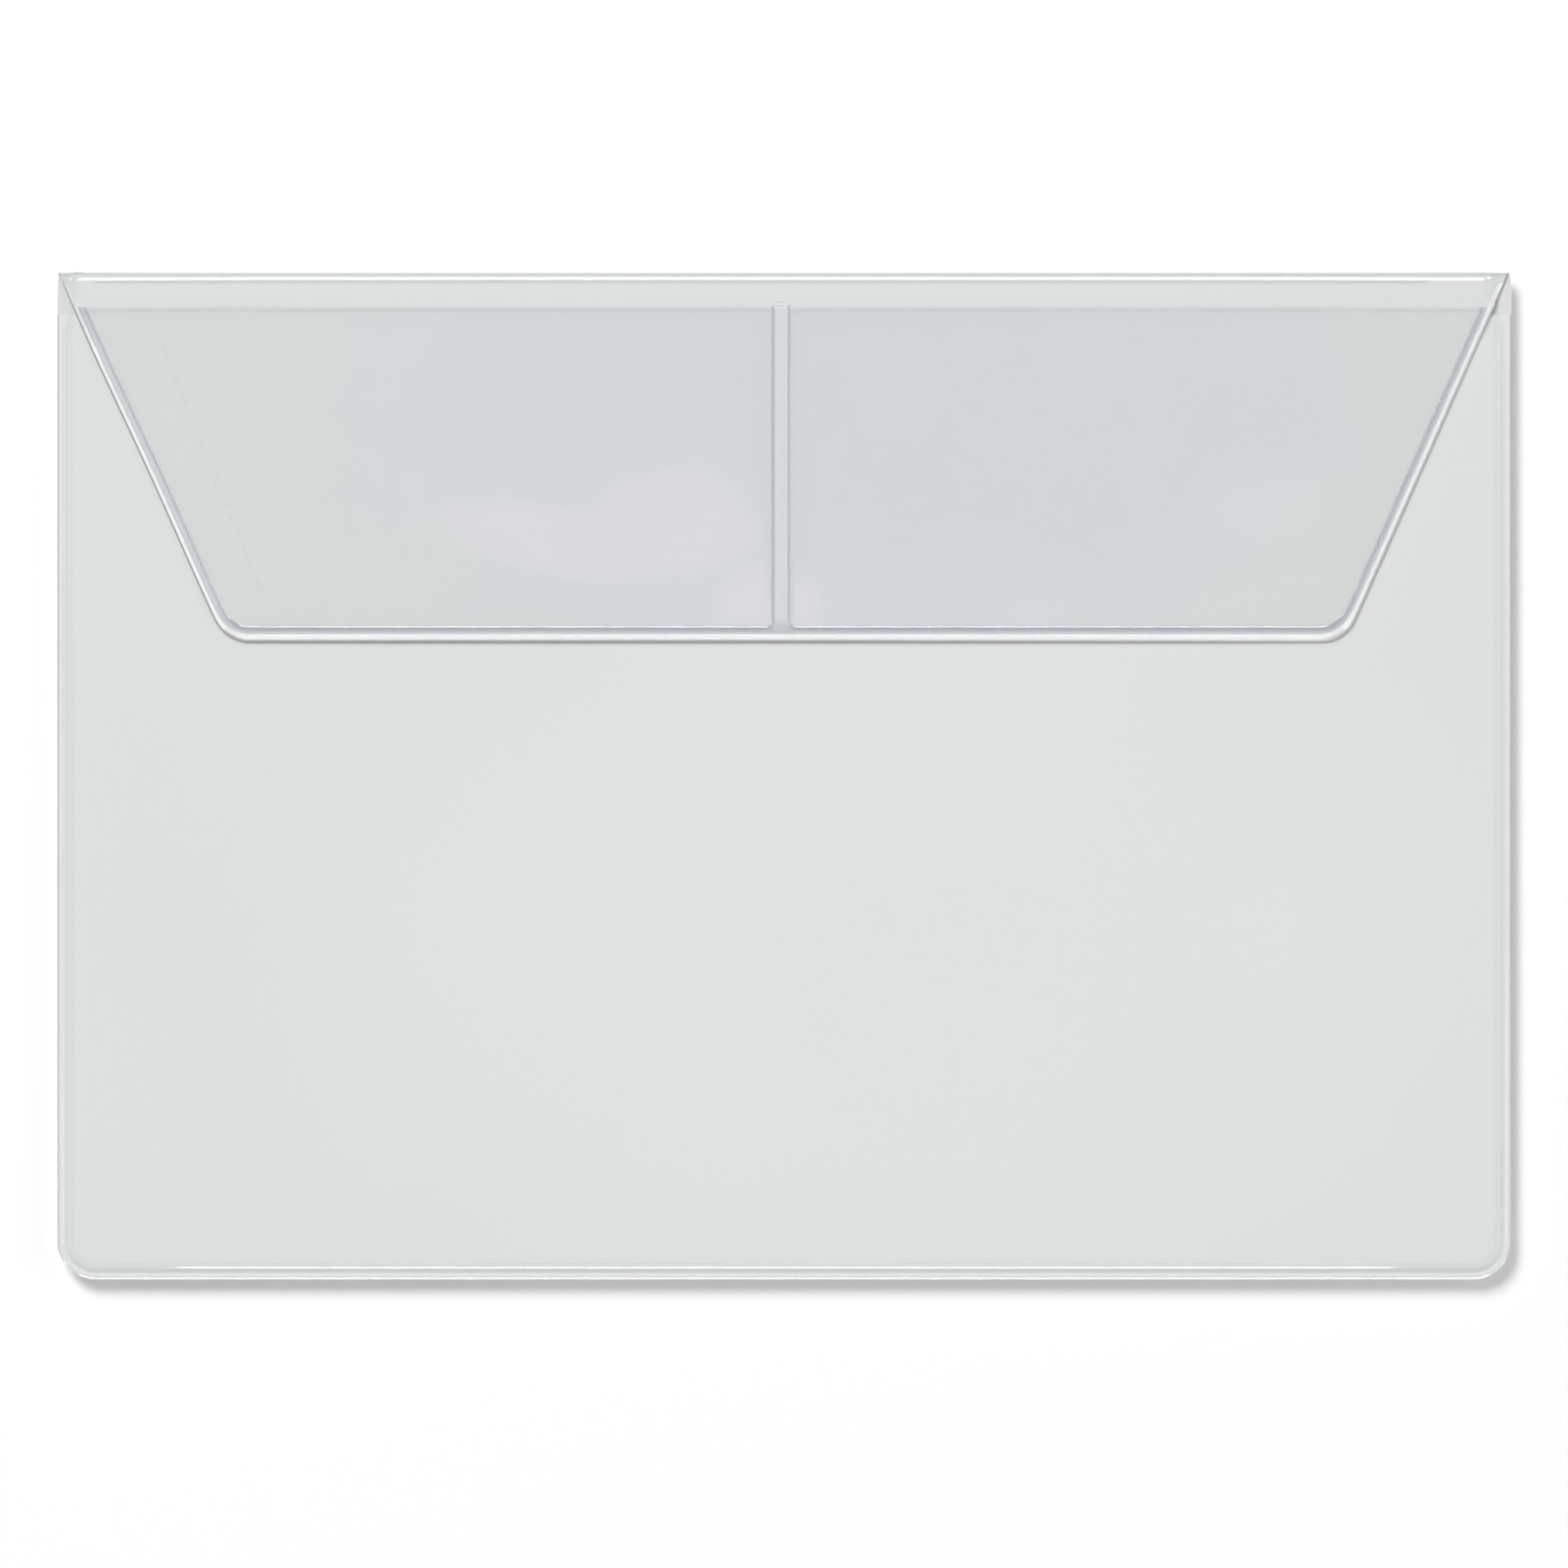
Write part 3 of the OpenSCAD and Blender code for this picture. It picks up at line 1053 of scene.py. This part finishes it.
# Each point is its reach past the hinge, its level from the back (-1) to the flap (1), and its lift.
fold_points = [
    (nose * math.sin(math.radians(turn)), (nose * (1 - math.cos(math.radians(turn)))) / hinge.z - 1, 0.0)
    for turn in NOSE_STEPS
]
fold_points += [(nose, 0.0, 0.0), (nose, 0.45, 0.0), (nose - 0.09 * MM, 0.78, 0.0)]
fold_points += [(nose - inwards, 1.0, lift) for inwards, lift in ROLL]
fold_points += [(0.0, 1.0, -CREASE_H)]
fold_reach, fold_level, fold_lift = (
    [(index, point[part]) for index, point in enumerate(fold_points)] for part in range(3)
)


def place_fold(column, row):
    reach = curve_through(fold_reach, row)
    level = curve_through(fold_level, row)
    lift = curve_through(fold_lift, row)
    y = hinge.y + reach
    body_edge = body_half - LIP_DRAW - CORNER_DRAW * ease(0, nose, reach)
    flap_edge = flap_half - (body_top - y) * math.tan(slant)
    x = column * (body_edge + (flap_edge - body_edge) * ease(-0.1, 0.9, level))
    roll_from, roll_to = ROLL_END_LEFT if x < 0 else ROLL_END_RIGHT
    plain = (1 - crease_share(x)) * ease(0.1 * MM, 0.5 * MM, nose - reach) * ease(0.8, 1.0, level)
    lift = (lift + PLAIN_ROLL_LIFT * plain) * (1 - ease(roll_from, roll_to, abs(x)))
    if x > 0:
        bead = curve_through(END_BEAD, (flap_edge - x) * math.cos(slant))
        lift += bead * ease(0.6, 0.95, level) * ease(0.3 * MM, 0.6 * MM, nose - reach)
    back_z = weld_z - panel_height(x, hinge.y, 1.0)
    front_z = flap_top(x, hinge.y) + CREASE_H * crease_share(x)
    middle = (back_z + front_z) / 2
    z = middle + level * (front_z - middle if level > 0 else middle - back_z)
    return Vector((x, y, z + lift))


from_ends = [0.0]
for step, until in FOLD_STEPS:
    while from_ends[-1] + step < until:
        from_ends.append(from_ends[-1] + step)
shares = [from_end / body_half for from_end in from_ends]
fold_columns = sorted([share - 1 for share in shares] + [1 - share for share in shares])
last_row = FOLD_ROWS_PER_POINT * (len(fold_points) - 1)
fold_rows = [row / FOLD_ROWS_PER_POINT for row in range(last_row + 1)]
fold = sheet_grid("fold", fold_columns, fold_rows, place_fold)
edit_all(fold, bpy.ops.mesh.flip_normals)
thicken(fold, sheet_t - SLACK)
smooth(fold)


def fold_shade(place):
    """Painted shade on the upper half of the fold, along its very edge and in the crease, and a painted
    shadow along the flap's cut end.
    """
    level = place.z + drape(place.x, place.y)
    upper = ease(flap_high.z - FOLD_UPPER[0], flap_high.z - FOLD_UPPER[1], level)
    edge = ease(body_top - FOLD_EDGE[0], body_top - FOLD_EDGE[1], place.y)
    from_end = flap_half - (body_top - place.y) * math.tan(slant) - abs(place.x)
    cut = 1 - ease(*FOLD_CUT, from_end)
    return upper * max(FOLD_EDGE_SHADE * edge, cut, painted_shade(place.x, place.y))


paint(fold, "crease", fold_shade)
finish_piece(fold, white_vinyl, None, "white_vinyl", "fold_hinge")
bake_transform(fold)

# %% [markdown]
# The weld round the flap fuses the film to the white sheet. Its bead has two low ridges and stands
# higher than the one round the pouch. Beside the film it has a groove. The sweep starts a little too
# high, and a bisect cuts it off along the hinge. Two more cuts give it points at the film's open edge,
# where its shape changes.

# %% Weld round the flap
FLAP_WELD = in_millimetres(
    (
        (0.1, 0.0), (-0.19, 0.04), (-0.14, 0.16), (-0.05, 0.3), (0.0, 0.42), (0.03, 0.56), (0.08, 0.63),
        (0.15, 0.675), (0.22, 0.72), (0.29, 0.765), (0.35, 0.79), (0.42, 0.785), (0.48, 0.79),
        (0.54, 0.825), (0.61, 0.87), (0.68, 0.915), (0.75, 0.945), (0.82, 0.92), (0.9, 0.78),
        (0.97, 0.6), (1.03, 0.48), (1.12, 0.42), (1.3, 0.39), (1.6, 0.38), (2.0, 0.38),
        (2.5, 0.37), (2.5, 0.1), (1.6, 0.0),
    )
)
OVERRUN = 1.5 * MM
NEAR_FILM = 8 * MM
FLAP_SIDE_STEPS = 40
FLAP_CORNER_STEPS = 16
FLAP_LOW_STEPS = 60
HINGE_GAP = 0.04 * MM
CUT_EXACT = 0.001 * MM
along_left = Vector((math.sin(slant), -math.cos(slant)))
into_left = Vector((math.cos(slant), math.sin(slant)))
along_right = Vector((math.sin(slant), math.cos(slant)))
flap_start = Vector((-flap_half_at(hinge.y, 0), hinge.y)) - along_left * OVERRUN
slant_run = (hinge.y - corner_y + flap_radius * math.sin(slant)) / math.cos(slant) + OVERRUN
flap_turn = math.pi / 2 - slant
flap_weld = swept_weld(
    "flap_weld",
    FLAP_WELD,
    flap_start,
    into_left,
    flap_low.z,
    [
        ("go", along_left, NEAR_FILM, END_STEPS),
        ("go", along_left, slant_run - NEAR_FILM, FLAP_SIDE_STEPS),
        ("turn", Vector((-corner_x, corner_y)), flap_turn, FLAP_CORNER_STEPS),
        ("go", right, 2 * corner_x, FLAP_LOW_STEPS),
        ("turn", Vector((corner_x, corner_y)), flap_turn, FLAP_CORNER_STEPS),
        ("go", along_right, slant_run - NEAR_FILM, FLAP_SIDE_STEPS),
        ("go", along_right, NEAR_FILM, END_STEPS),
    ],
)


def cut_weld(y, **ends):
    """Cuts the flap's weld all across at this height."""
    plane = {"plane_co": (0, y, 0), "plane_no": (0, 1, 0), "threshold": CUT_EXACT}
    edit_all(flap_weld, bpy.ops.mesh.bisect, **plane, **ends)


cut_weld(film_high.y - FILM_CUT)
cut_weld(film_high.y + FILM_CUT)
cut_weld(hinge.y - HINGE_GAP, use_fill=True, clear_outer=True)
print("flap weld:", len(flap_weld.data.vertices), "points after the cuts")

# %% [markdown]
# On the slanted sides the weld is narrower and lower than along the bottom. Above the film's open edge
# there is nothing to press, so there the groove sinks under the flap's own sheet and the bead gets
# lower, most of all on the left. A loop over the points makes these changes and bends the weld down
# with the flap. The dark groove, which is partly painted shade, and the grey rim, which is painted
# shadow, are then stored for the material.

# %% Shaping the flap's weld
SIDE_NARROW = 0.28
NARROW_UP = 1 * MM
BEAD_UP = 0.2 * MM
BEAD_UP_FROM = 0.1 * MM
BEAD_UP_TO = (1.2 * MM, 2 * MM)
BEAD_FOOT = 0.42 * MM
LEFT_BEAD_W = 0.8 * MM
RIGHT_BEAD_W = 0.97 * MM
LEFT_FADE = (9 * MM, 2 * MM)
RIGHT_FADE = 1.5 * MM
FLUSH_H = 0.33 * MM
SUNK_H = 0.2 * MM
LOW_BEAD = 0.25
TAPER = 0.25
TAPER_FROM = 2 * MM
CORNER_SHADOW = 0.22
CORNER_SHADOW_AT = (8 * MM, 1 * MM)
FLAP_RIM = (0.02 * MM, 0.07 * MM)
LOW_RIM_PALER = 0.25
RIGHT_RIM_PALER = 0.5
FLAP_GROOVE = (0.84 * MM, 1.0 * MM)
SIDE_GROOVE_PALER = 0.2
SIDE_GROOVE_UP = 2 * MM


def narrowing(y):
    """The weld is narrower on the slanted sides than along the bottom."""
    return SIDE_NARROW * ease(flap_bottom + NARROW_UP, corner_y + NARROW_UP, y)


def raised(y):
    """Along the bottom the bead lies a little further in from the edge."""
    return BEAD_UP * (1 - narrowing(y) / SIDE_NARROW)


def bead_height(height, place, inside):
    """Above the film the groove sinks under the sheet, and the bead runs out on the left."""
    if inside > (LEFT_BEAD_W if place.x < 0 else RIGHT_BEAD_W):
        return height + (min(height, SUNK_H) - height) * above_film(place.y)
    if place.x < 0:
        plain = ease(film_high.y - LEFT_FADE[0], film_high.y - LEFT_FADE[1], place.y)
        return height + (min(height, FLUSH_H) - height) * plain
    lower = LOW_BEAD * ease(film_high.y - RIGHT_FADE, film_high.y + RIGHT_FADE, place.y)
    return height * (1 - lower)


for vertex in flap_weld.data.vertices:
    place = vertex.co
    inside = flap_inside(place.x, place.y)
    height = place.z - flap_low.z
    if height > BEAD_FOOT:
        height = BEAD_FOOT + (height - BEAD_FOOT) * (1 - narrowing(place.y))
    height = bead_height(height, place, inside)
    squeezed = narrowing(place.y)
    if inside < 0:
        tapered = ease(film_high.y - TAPER_FROM, hinge.y, place.y)
        squeezed = TAPER * tapered - squeezed * (1 - tapered)
    outwards = math.copysign(1, place.x)
    place.x += outwards * inside / math.cos(slant) * squeezed
    place.y += raised(place.y) * ease(0, BEAD_UP_FROM, inside) * (1 - ease(*BEAD_UP_TO, inside))
    place.z = flap_low.z + height - drape(place.x, place.y) - PINCH_H * pinched(place.x, place.y)
face_outwards(flap_weld)
smooth(flap_weld, 60)


def across_weld(place):
    """How far across the weld's section a point is."""
    return (flap_inside(place.x, place.y) - raised(place.y)) / (1 - narrowing(place.y))


def flap_rim_shade(place):
    """Painted shadow: the cut edge is grey, paler along the bottom and on the right, and so is the upper
    left end.
    """
    near_end = ease(film_high.y - CORNER_SHADOW_AT[0], film_high.y - CORNER_SHADOW_AT[1], place.y)
    corner = CORNER_SHADOW * near_end if place.x < 0 else 0.0
    edge = 1 - ease(*FLAP_RIM, across_weld(place))
    low = 1 - LOW_RIM_PALER * raised(place.y) / BEAD_UP
    return max(corner, edge * low * (1 - RIGHT_RIM_PALER * ease(0, corner_x, place.x)))


def flap_groove(place):
    """The groove is dark, partly as painted shade, a little less so on the slanted sides, and ends with
    the film.
    """
    side = ease(flap_bottom + SIDE_GROOVE_UP, corner_y + SIDE_GROOVE_UP, place.y)
    dark = ease(*FLAP_GROOVE, across_weld(place)) * (1 - above_film(place.y))
    return dark * (1 - SIDE_GROOVE_PALER * side)


paint(flap_weld, "groove", flap_groove)
paint(flap_weld, "rim_shade", flap_rim_shade)
finish_piece(
    flap_weld, pressed_film, "flap", "pressed_film",
    "flap_left_weld", "flap_bottom_weld", "flap_right_weld",
)

# %% [markdown]
# The divider is a straight channel, pressed through the film into the flap. It is a narrow strip of
# its own here, with a lip at its upper end where the press stopped. Its lower end runs into the groove
# of the flap's weld.

# %% Divider weld
DIVIDER_T = 0.12 * MM
DIVIDER_COLUMN_STEPS = (0.1 * MM, 0.3 * MM)
DIVIDER_ROW_STEPS = (0.08 * MM, 2 * MM)
DIVIDER_LIFT = 0.06 * MM
DIVIDER_LIP_H = 0.20 * MM
DIVIDER_END_H = 0.16 * MM
DIVIDER_RUN_IN_H = 0.15 * MM
DIVIDER_SIDE_H = 0.1 * MM
DIVIDER_PALER = 0.5
divider_bottom = flap_bottom + 1.2 * MM
divider_top = film_high.y + 0.45 * MM
strip_half = divider_half + 0.1 * MM
divider_columns = [across - strip_half for across in graded(2 * strip_half, *DIVIDER_COLUMN_STEPS)]
divider_run = divider_top - divider_bottom
divider_rows = [divider_bottom + up for up in graded(divider_run, *DIVIDER_ROW_STEPS)]


def place_divider(column, row):
    lip = DIVIDER_LIP_H * ease(film_high.y - 0.1 * MM, film_high.y + 0.25 * MM, row)
    end = DIVIDER_END_H * ease(divider_top - 0.15 * MM, divider_top, row)
    runs_in = DIVIDER_RUN_IN_H * (1 - ease(divider_bottom + 0.6 * MM, divider_bottom + 1.6 * MM, row))
    side = DIVIDER_SIDE_H * ease(divider_half - 0.2 * MM, divider_half, abs(column))
    x = divider_x + column
    base = flap_top(divider_x, row) + DIVIDER_LIFT
    return Vector((x, row, base + lip - end + runs_in + side))


def divider_groove(place):
    """The channel is darkest at its lower end, and plain on its lip."""
    below_lip = 1 - ease(film_high.y - 0.3 * MM, film_high.y, place.y)
    return below_lip * (1 - DIVIDER_PALER * ease(flap_bottom + 2 * MM, flap_bottom + 4 * MM, place.y))


divider = sheet_grid("divider_strip", divider_columns, divider_rows, place_divider)
thicken(divider, DIVIDER_T)
smooth(divider)
paint(divider, "groove", divider_groove)
finish_piece(divider, pressed_film, "flap", "pressed_film", "divider_weld")

# %% [markdown]
# The film stands up from the welds like a shallow tray turned over: a steep wall all round, a sloped
# shoulder, a rounded crest, and a top that sags a little towards the flap. Its upper edge is open, so a
# card slides in there. Each pocket is one grid whose outer columns follow the slanted side, the round
# corner and the divider. The two are joined into one piece, because the film is one sheet.

# %% Card film
FILM_IN = 1.95 * MM
FILM_EDGE = in_millimetres(
    (
        (0, 0), (0.05, 0.32), (0.1, 0.45), (0.18, 0.505), (0.26, 0.557), (0.34, 0.609), (0.42, 0.661),
        (0.5, 0.713), (0.58, 0.752), (0.68, 0.775), (0.85, 0.78), (1.4, 0.75), (2.4, 0.71), (4, 0.7),
    )
)
FILM_WALL = in_millimetres(
    (
        (0, 0), (0.05, 0.3), (0.1, 0.5), (0.16, 0.64), (0.24, 0.73), (0.36, 0.775), (0.6, 0.79),
        (1.4, 0.755), (2.4, 0.71), (4, 0.7),
    )
)
POCKET_R = 1.5 * MM
FILM_LIFT = 0.04 * MM
FILM_ROW_STEPS = (0.05 * MM, 3 * MM)
FILM_COLUMN_STEPS = (0.0005, 0.03)
MOUTH_SAG = 0.10 * MM
SWELL_H = 0.12 * MM
CURL_IN = 0.55 * MM
CURL_W = 0.25 * MM
CURL_SHADE = 0.42
OPEN_EDGE_SHADE = 0.2
film_foot_z = flap_high.z + FILM_LIFT
film_bottom = flap_bottom + FILM_IN


def film_in(y):
    """How far in from the flap's edge the film starts."""
    return FILM_IN * (1 - narrowing(y))


def pocket_inside(x, y, side):
    """How far a point lies inside the welded edges of a pocket, on the left for side -1."""
    from_weld = flap_inside(x, y) - film_in(y)
    from_divider = side * (x - divider_x) - divider_half
    from_low = y - film_bottom
    if from_divider < POCKET_R and from_low < POCKET_R:
        from_divider = POCKET_R - math.hypot(POCKET_R - from_divider, POCKET_R - from_low)
    return min(from_weld, from_divider)


def film_top(x, y, side):
    """Height of the upper face of the film."""
    inside = pocket_inside(x, y, side)
    steep = narrowing(y) / SIDE_NARROW
    edge = (1 - steep) * curve_through(FILM_EDGE, inside) + steep * curve_through(FILM_WALL, inside)
    mouth = MOUTH_SAG * (1 - ease(0, 2.5 * MM, film_high.y - y)) * ease(1 * MM, 5 * MM, inside)
    swell = SWELL_H * wave(1.6 * x, 1.7 * y) * ease(2 * MM, 12 * MM, inside)
    return film_foot_z + edge - mouth + swell - drape(x, y)


def pocket_film(side):
    """The film of one pocket, the left one for side -1."""
    rows = [film_bottom + up for up in graded(film_high.y - film_bottom, *FILM_ROW_STEPS)]
    columns = graded(1.0, *FILM_COLUMN_STEPS)

    def place(column, row):
        outer = side * flap_half_at(row, film_in(row))
        low = film_bottom + POCKET_R - row
        round_off = POCKET_R - math.sqrt(max(POCKET_R**2 - low**2, 0.0)) if low > 0 else 0.0
        inner = divider_x + side * (divider_half + round_off)
        first, last = (outer, inner) if side < 0 else (inner, outer)
        x = first + (last - first) * column
        return Vector((x, row, film_top(x, row, side)))

    return sheet_grid("card_film_sheet", columns, rows, place)


def from_pocket_edge(place):
    return pocket_inside(place.x, place.y, -1 if place.x < divider_x else 1)


def film_bend_shade(place):
    """Painted shade: 1 where the film bends down into its weld, and less where its open edge curls and
    along that edge.
    """
    wall = 1 - ease(0.25 * MM, 0.5 * MM, from_pocket_edge(place))
    from_open = film_high.y - place.y
    curl = CURL_SHADE * bell(CURL_W, from_open - CURL_IN)
    return max(wall, curl, OPEN_EDGE_SHADE * (1 - ease(0.1 * MM, 0.3 * MM, from_open)))


def film_flat(place):
    """1 where the film lies flat, where the painted glare may show."""
    return ease(0.6 * MM, 1.6 * MM, from_pocket_edge(place))


film = pocket_film(-1)
right_film = pocket_film(1)
select_only(film)
right_film.select_set(True)
bpy.ops.object.join()
thicken(film, film_t)
paint(film, "bend", film_bend_shade)
paint(film, "flat", film_flat)
smooth(film, 60)
finish_piece(film, clear_film, "flap", "clear_film", "card_film")

# %% [markdown]
# On the real holder the left side of the flap isn't quite straight: towards the fold it bows out a
# little. All the pieces there are pushed out together at the end, as with a soft brush, so that they
# still fit. The fold is pushed only where it joins the flap, because its back joins the pouch.

# %% Left side of the flap
LEFT_BOW = 0.42 * MM
LEFT_BOW_UP = (46 * MM, 72 * MM)
LEFT_BOW_OUT = (60 * MM, 100 * MM)


def left_bow(place):
    """How far a point of the flap is pushed out to the left."""
    return LEFT_BOW * ease(*LEFT_BOW_UP, place.y) * ease(*LEFT_BOW_OUT, -place.x)


for piece in (flap_sheet, flap_weld, film):
    for vertex in piece.data.vertices:
        vertex.co.x -= left_bow(vertex.co)
for vertex in fold.data.vertices:
    vertex.co.x -= left_bow(vertex.co) * ease(weld_z - 0.1 * MM, weld_z + 0.4 * MM, vertex.co.z)
print(f"left side pushed out by {LEFT_BOW / MM:.2f} mm at the fold")

# %% [markdown]
# The flap and the film are cut with slanted sides, and their flat areas are worked out here.

# %% Cut sizes
def slanted_area(low, high, inset):
    """Flat area of a sheet between two heights, with the flap's slanted sides."""
    return 2 * flap_half_at((low + high) / 2, inset) * (high - low)


slanted_area(flap_bottom, hinge.y, FLAP_PLAIN_IN)
slanted_area(film_bottom, film_high.y, FILM_IN)

# %% [markdown]
# The floor is a plain pale plane. Its own colour and the lamps make it nearly white, and a little
# extra light that only the camera sees makes it quite white, while it keeps the shadow of the holder.

# %% Floor
FLOOR_Z = -0.15 * MM
FLOOR_SIZE = 8
FLOOR_GLOW = 0.06
bpy.ops.object.select_all(action="DESELECT")
bpy.ops.mesh.primitive_plane_add(size=FLOOR_SIZE, location=(0, 0, FLOOR_Z))
floor = bpy.context.object
floor.name = "floor"


def ray_kind(tree, *kinds):
    """1 for a ray of one of these kinds, and 0 for others."""
    path = tree.nodes.new("ShaderNodeLightPath")
    rays = 0.0
    for kind in kinds:
        rays = rays + Wire(path.outputs[kind])
    return ramp(tree, rays, 0.0, 1.0)


floor_material, tree, surface = new_material("floor")
paper = Wire.node(tree, "ShaderNodeBsdfDiffuse", None, {"Color": (0.92, 0.92, 0.92, 1)})
extra = FLOOR_GLOW * ray_kind(tree, "Is Camera Ray")
glow = Wire.node(tree, "ShaderNodeEmission", None, {"Strength": extra})
lit = Wire.node(tree, "ShaderNodeAddShader", None, {0: paper, 1: glow})
tree.links.new(lit.socket, surface)
floor.data.materials.append(floor_material)
print("floor at", floor.location.z)

# %% [markdown]
# The sky lights everything evenly. A large lamp from the upper left draws the soft shadow to the right
# and below, and two weak ones fill in from the right and from below, without a shadow of their own.
# Glossy vinyl would mirror these large lamps as white patches in a view from the side, so they are
# kept out of reflections. Three narrow lamps stand low opposite the lower edge and the flap's two sides.
# They are seen only in reflections, where the beads and the fold mirror them as bright lines. The satin
# flat of the sheets shows them as a faint sheen only.

# %% Lights
SKY = 0.17
SKY_MIRRORED = 0.6
STRIP_D = 0.9
STRIP_H = 0.42
STRIP_W = 0.09
STRIP_POWER = 46
LOW_STRIP_L = 1.1
SIDE_STRIP_L = 0.5
SIDE_SHIFT = 0.08
scene = bpy.context.scene
scene.view_settings.view_transform = "Standard"
world = bpy.data.worlds.new("studio")
scene.world = world
world.use_nodes = True
tree = world.node_tree
tree.nodes.clear()
seen = (1 - SKY) * ray_kind(tree, "Is Camera Ray", "Is Transmission Ray")
mirrored = (SKY_MIRRORED - SKY) * ray_kind(tree, "Is Glossy Ray")
sky = Wire.node(
    tree, "ShaderNodeBackground", None, {"Color": (1, 1, 1, 1), "Strength": SKY + seen + mirrored}
)
tree.links.new(sky.socket, tree.nodes.new("ShaderNodeOutputWorld").inputs["Surface"])


def lamp(name, place, size, power, shadow=True):
    """A rectangular lamp that faces the middle of the holder and that the camera doesn't see."""
    data = bpy.data.lights.new(name, "AREA")
    data.shape = "RECTANGLE"
    data.size, data.size_y = size
    data.energy = power
    data.use_shadow = shadow
    light = bpy.data.objects.new(name, data)
    scene.collection.objects.link(light)
    light.location = place
    light.rotation_euler = (-Vector(place)).to_track_quat("-Z", "Y").to_euler()
    light.visible_camera = False
    return light


def strip(name, place, length):
    """A narrow lamp of the same brightness at any length."""
    return lamp(name, place, (length, STRIP_W), STRIP_POWER * length * STRIP_W, shadow=False)


key = lamp("key", place=(-1.08, 1.72, 2.2), size=(1.3, 1.3), power=77)
fill = lamp("fill", place=(1.88, 0, 0.684), size=(1.5, 1.5), power=15.8, shadow=False)
front = lamp("front", place=(0, -1.88, 0.684), size=(1.5, 1.5), power=19.6, shadow=False)
strips = [strip("low_strip", (0, -STRIP_D, STRIP_H), LOW_STRIP_L)]
for side in (-1, 1):
    across = STRIP_D * math.cos(slant) - SIDE_SHIFT * math.sin(slant)
    along = SIDE_SHIFT * math.cos(slant) - STRIP_D * math.sin(slant)
    strips.append(strip("side_strip", (side * across, along, STRIP_H), SIDE_STRIP_L))
for light in (key, fill, front):
    light.visible_glossy = False
for light in strips:
    light.visible_diffuse = False
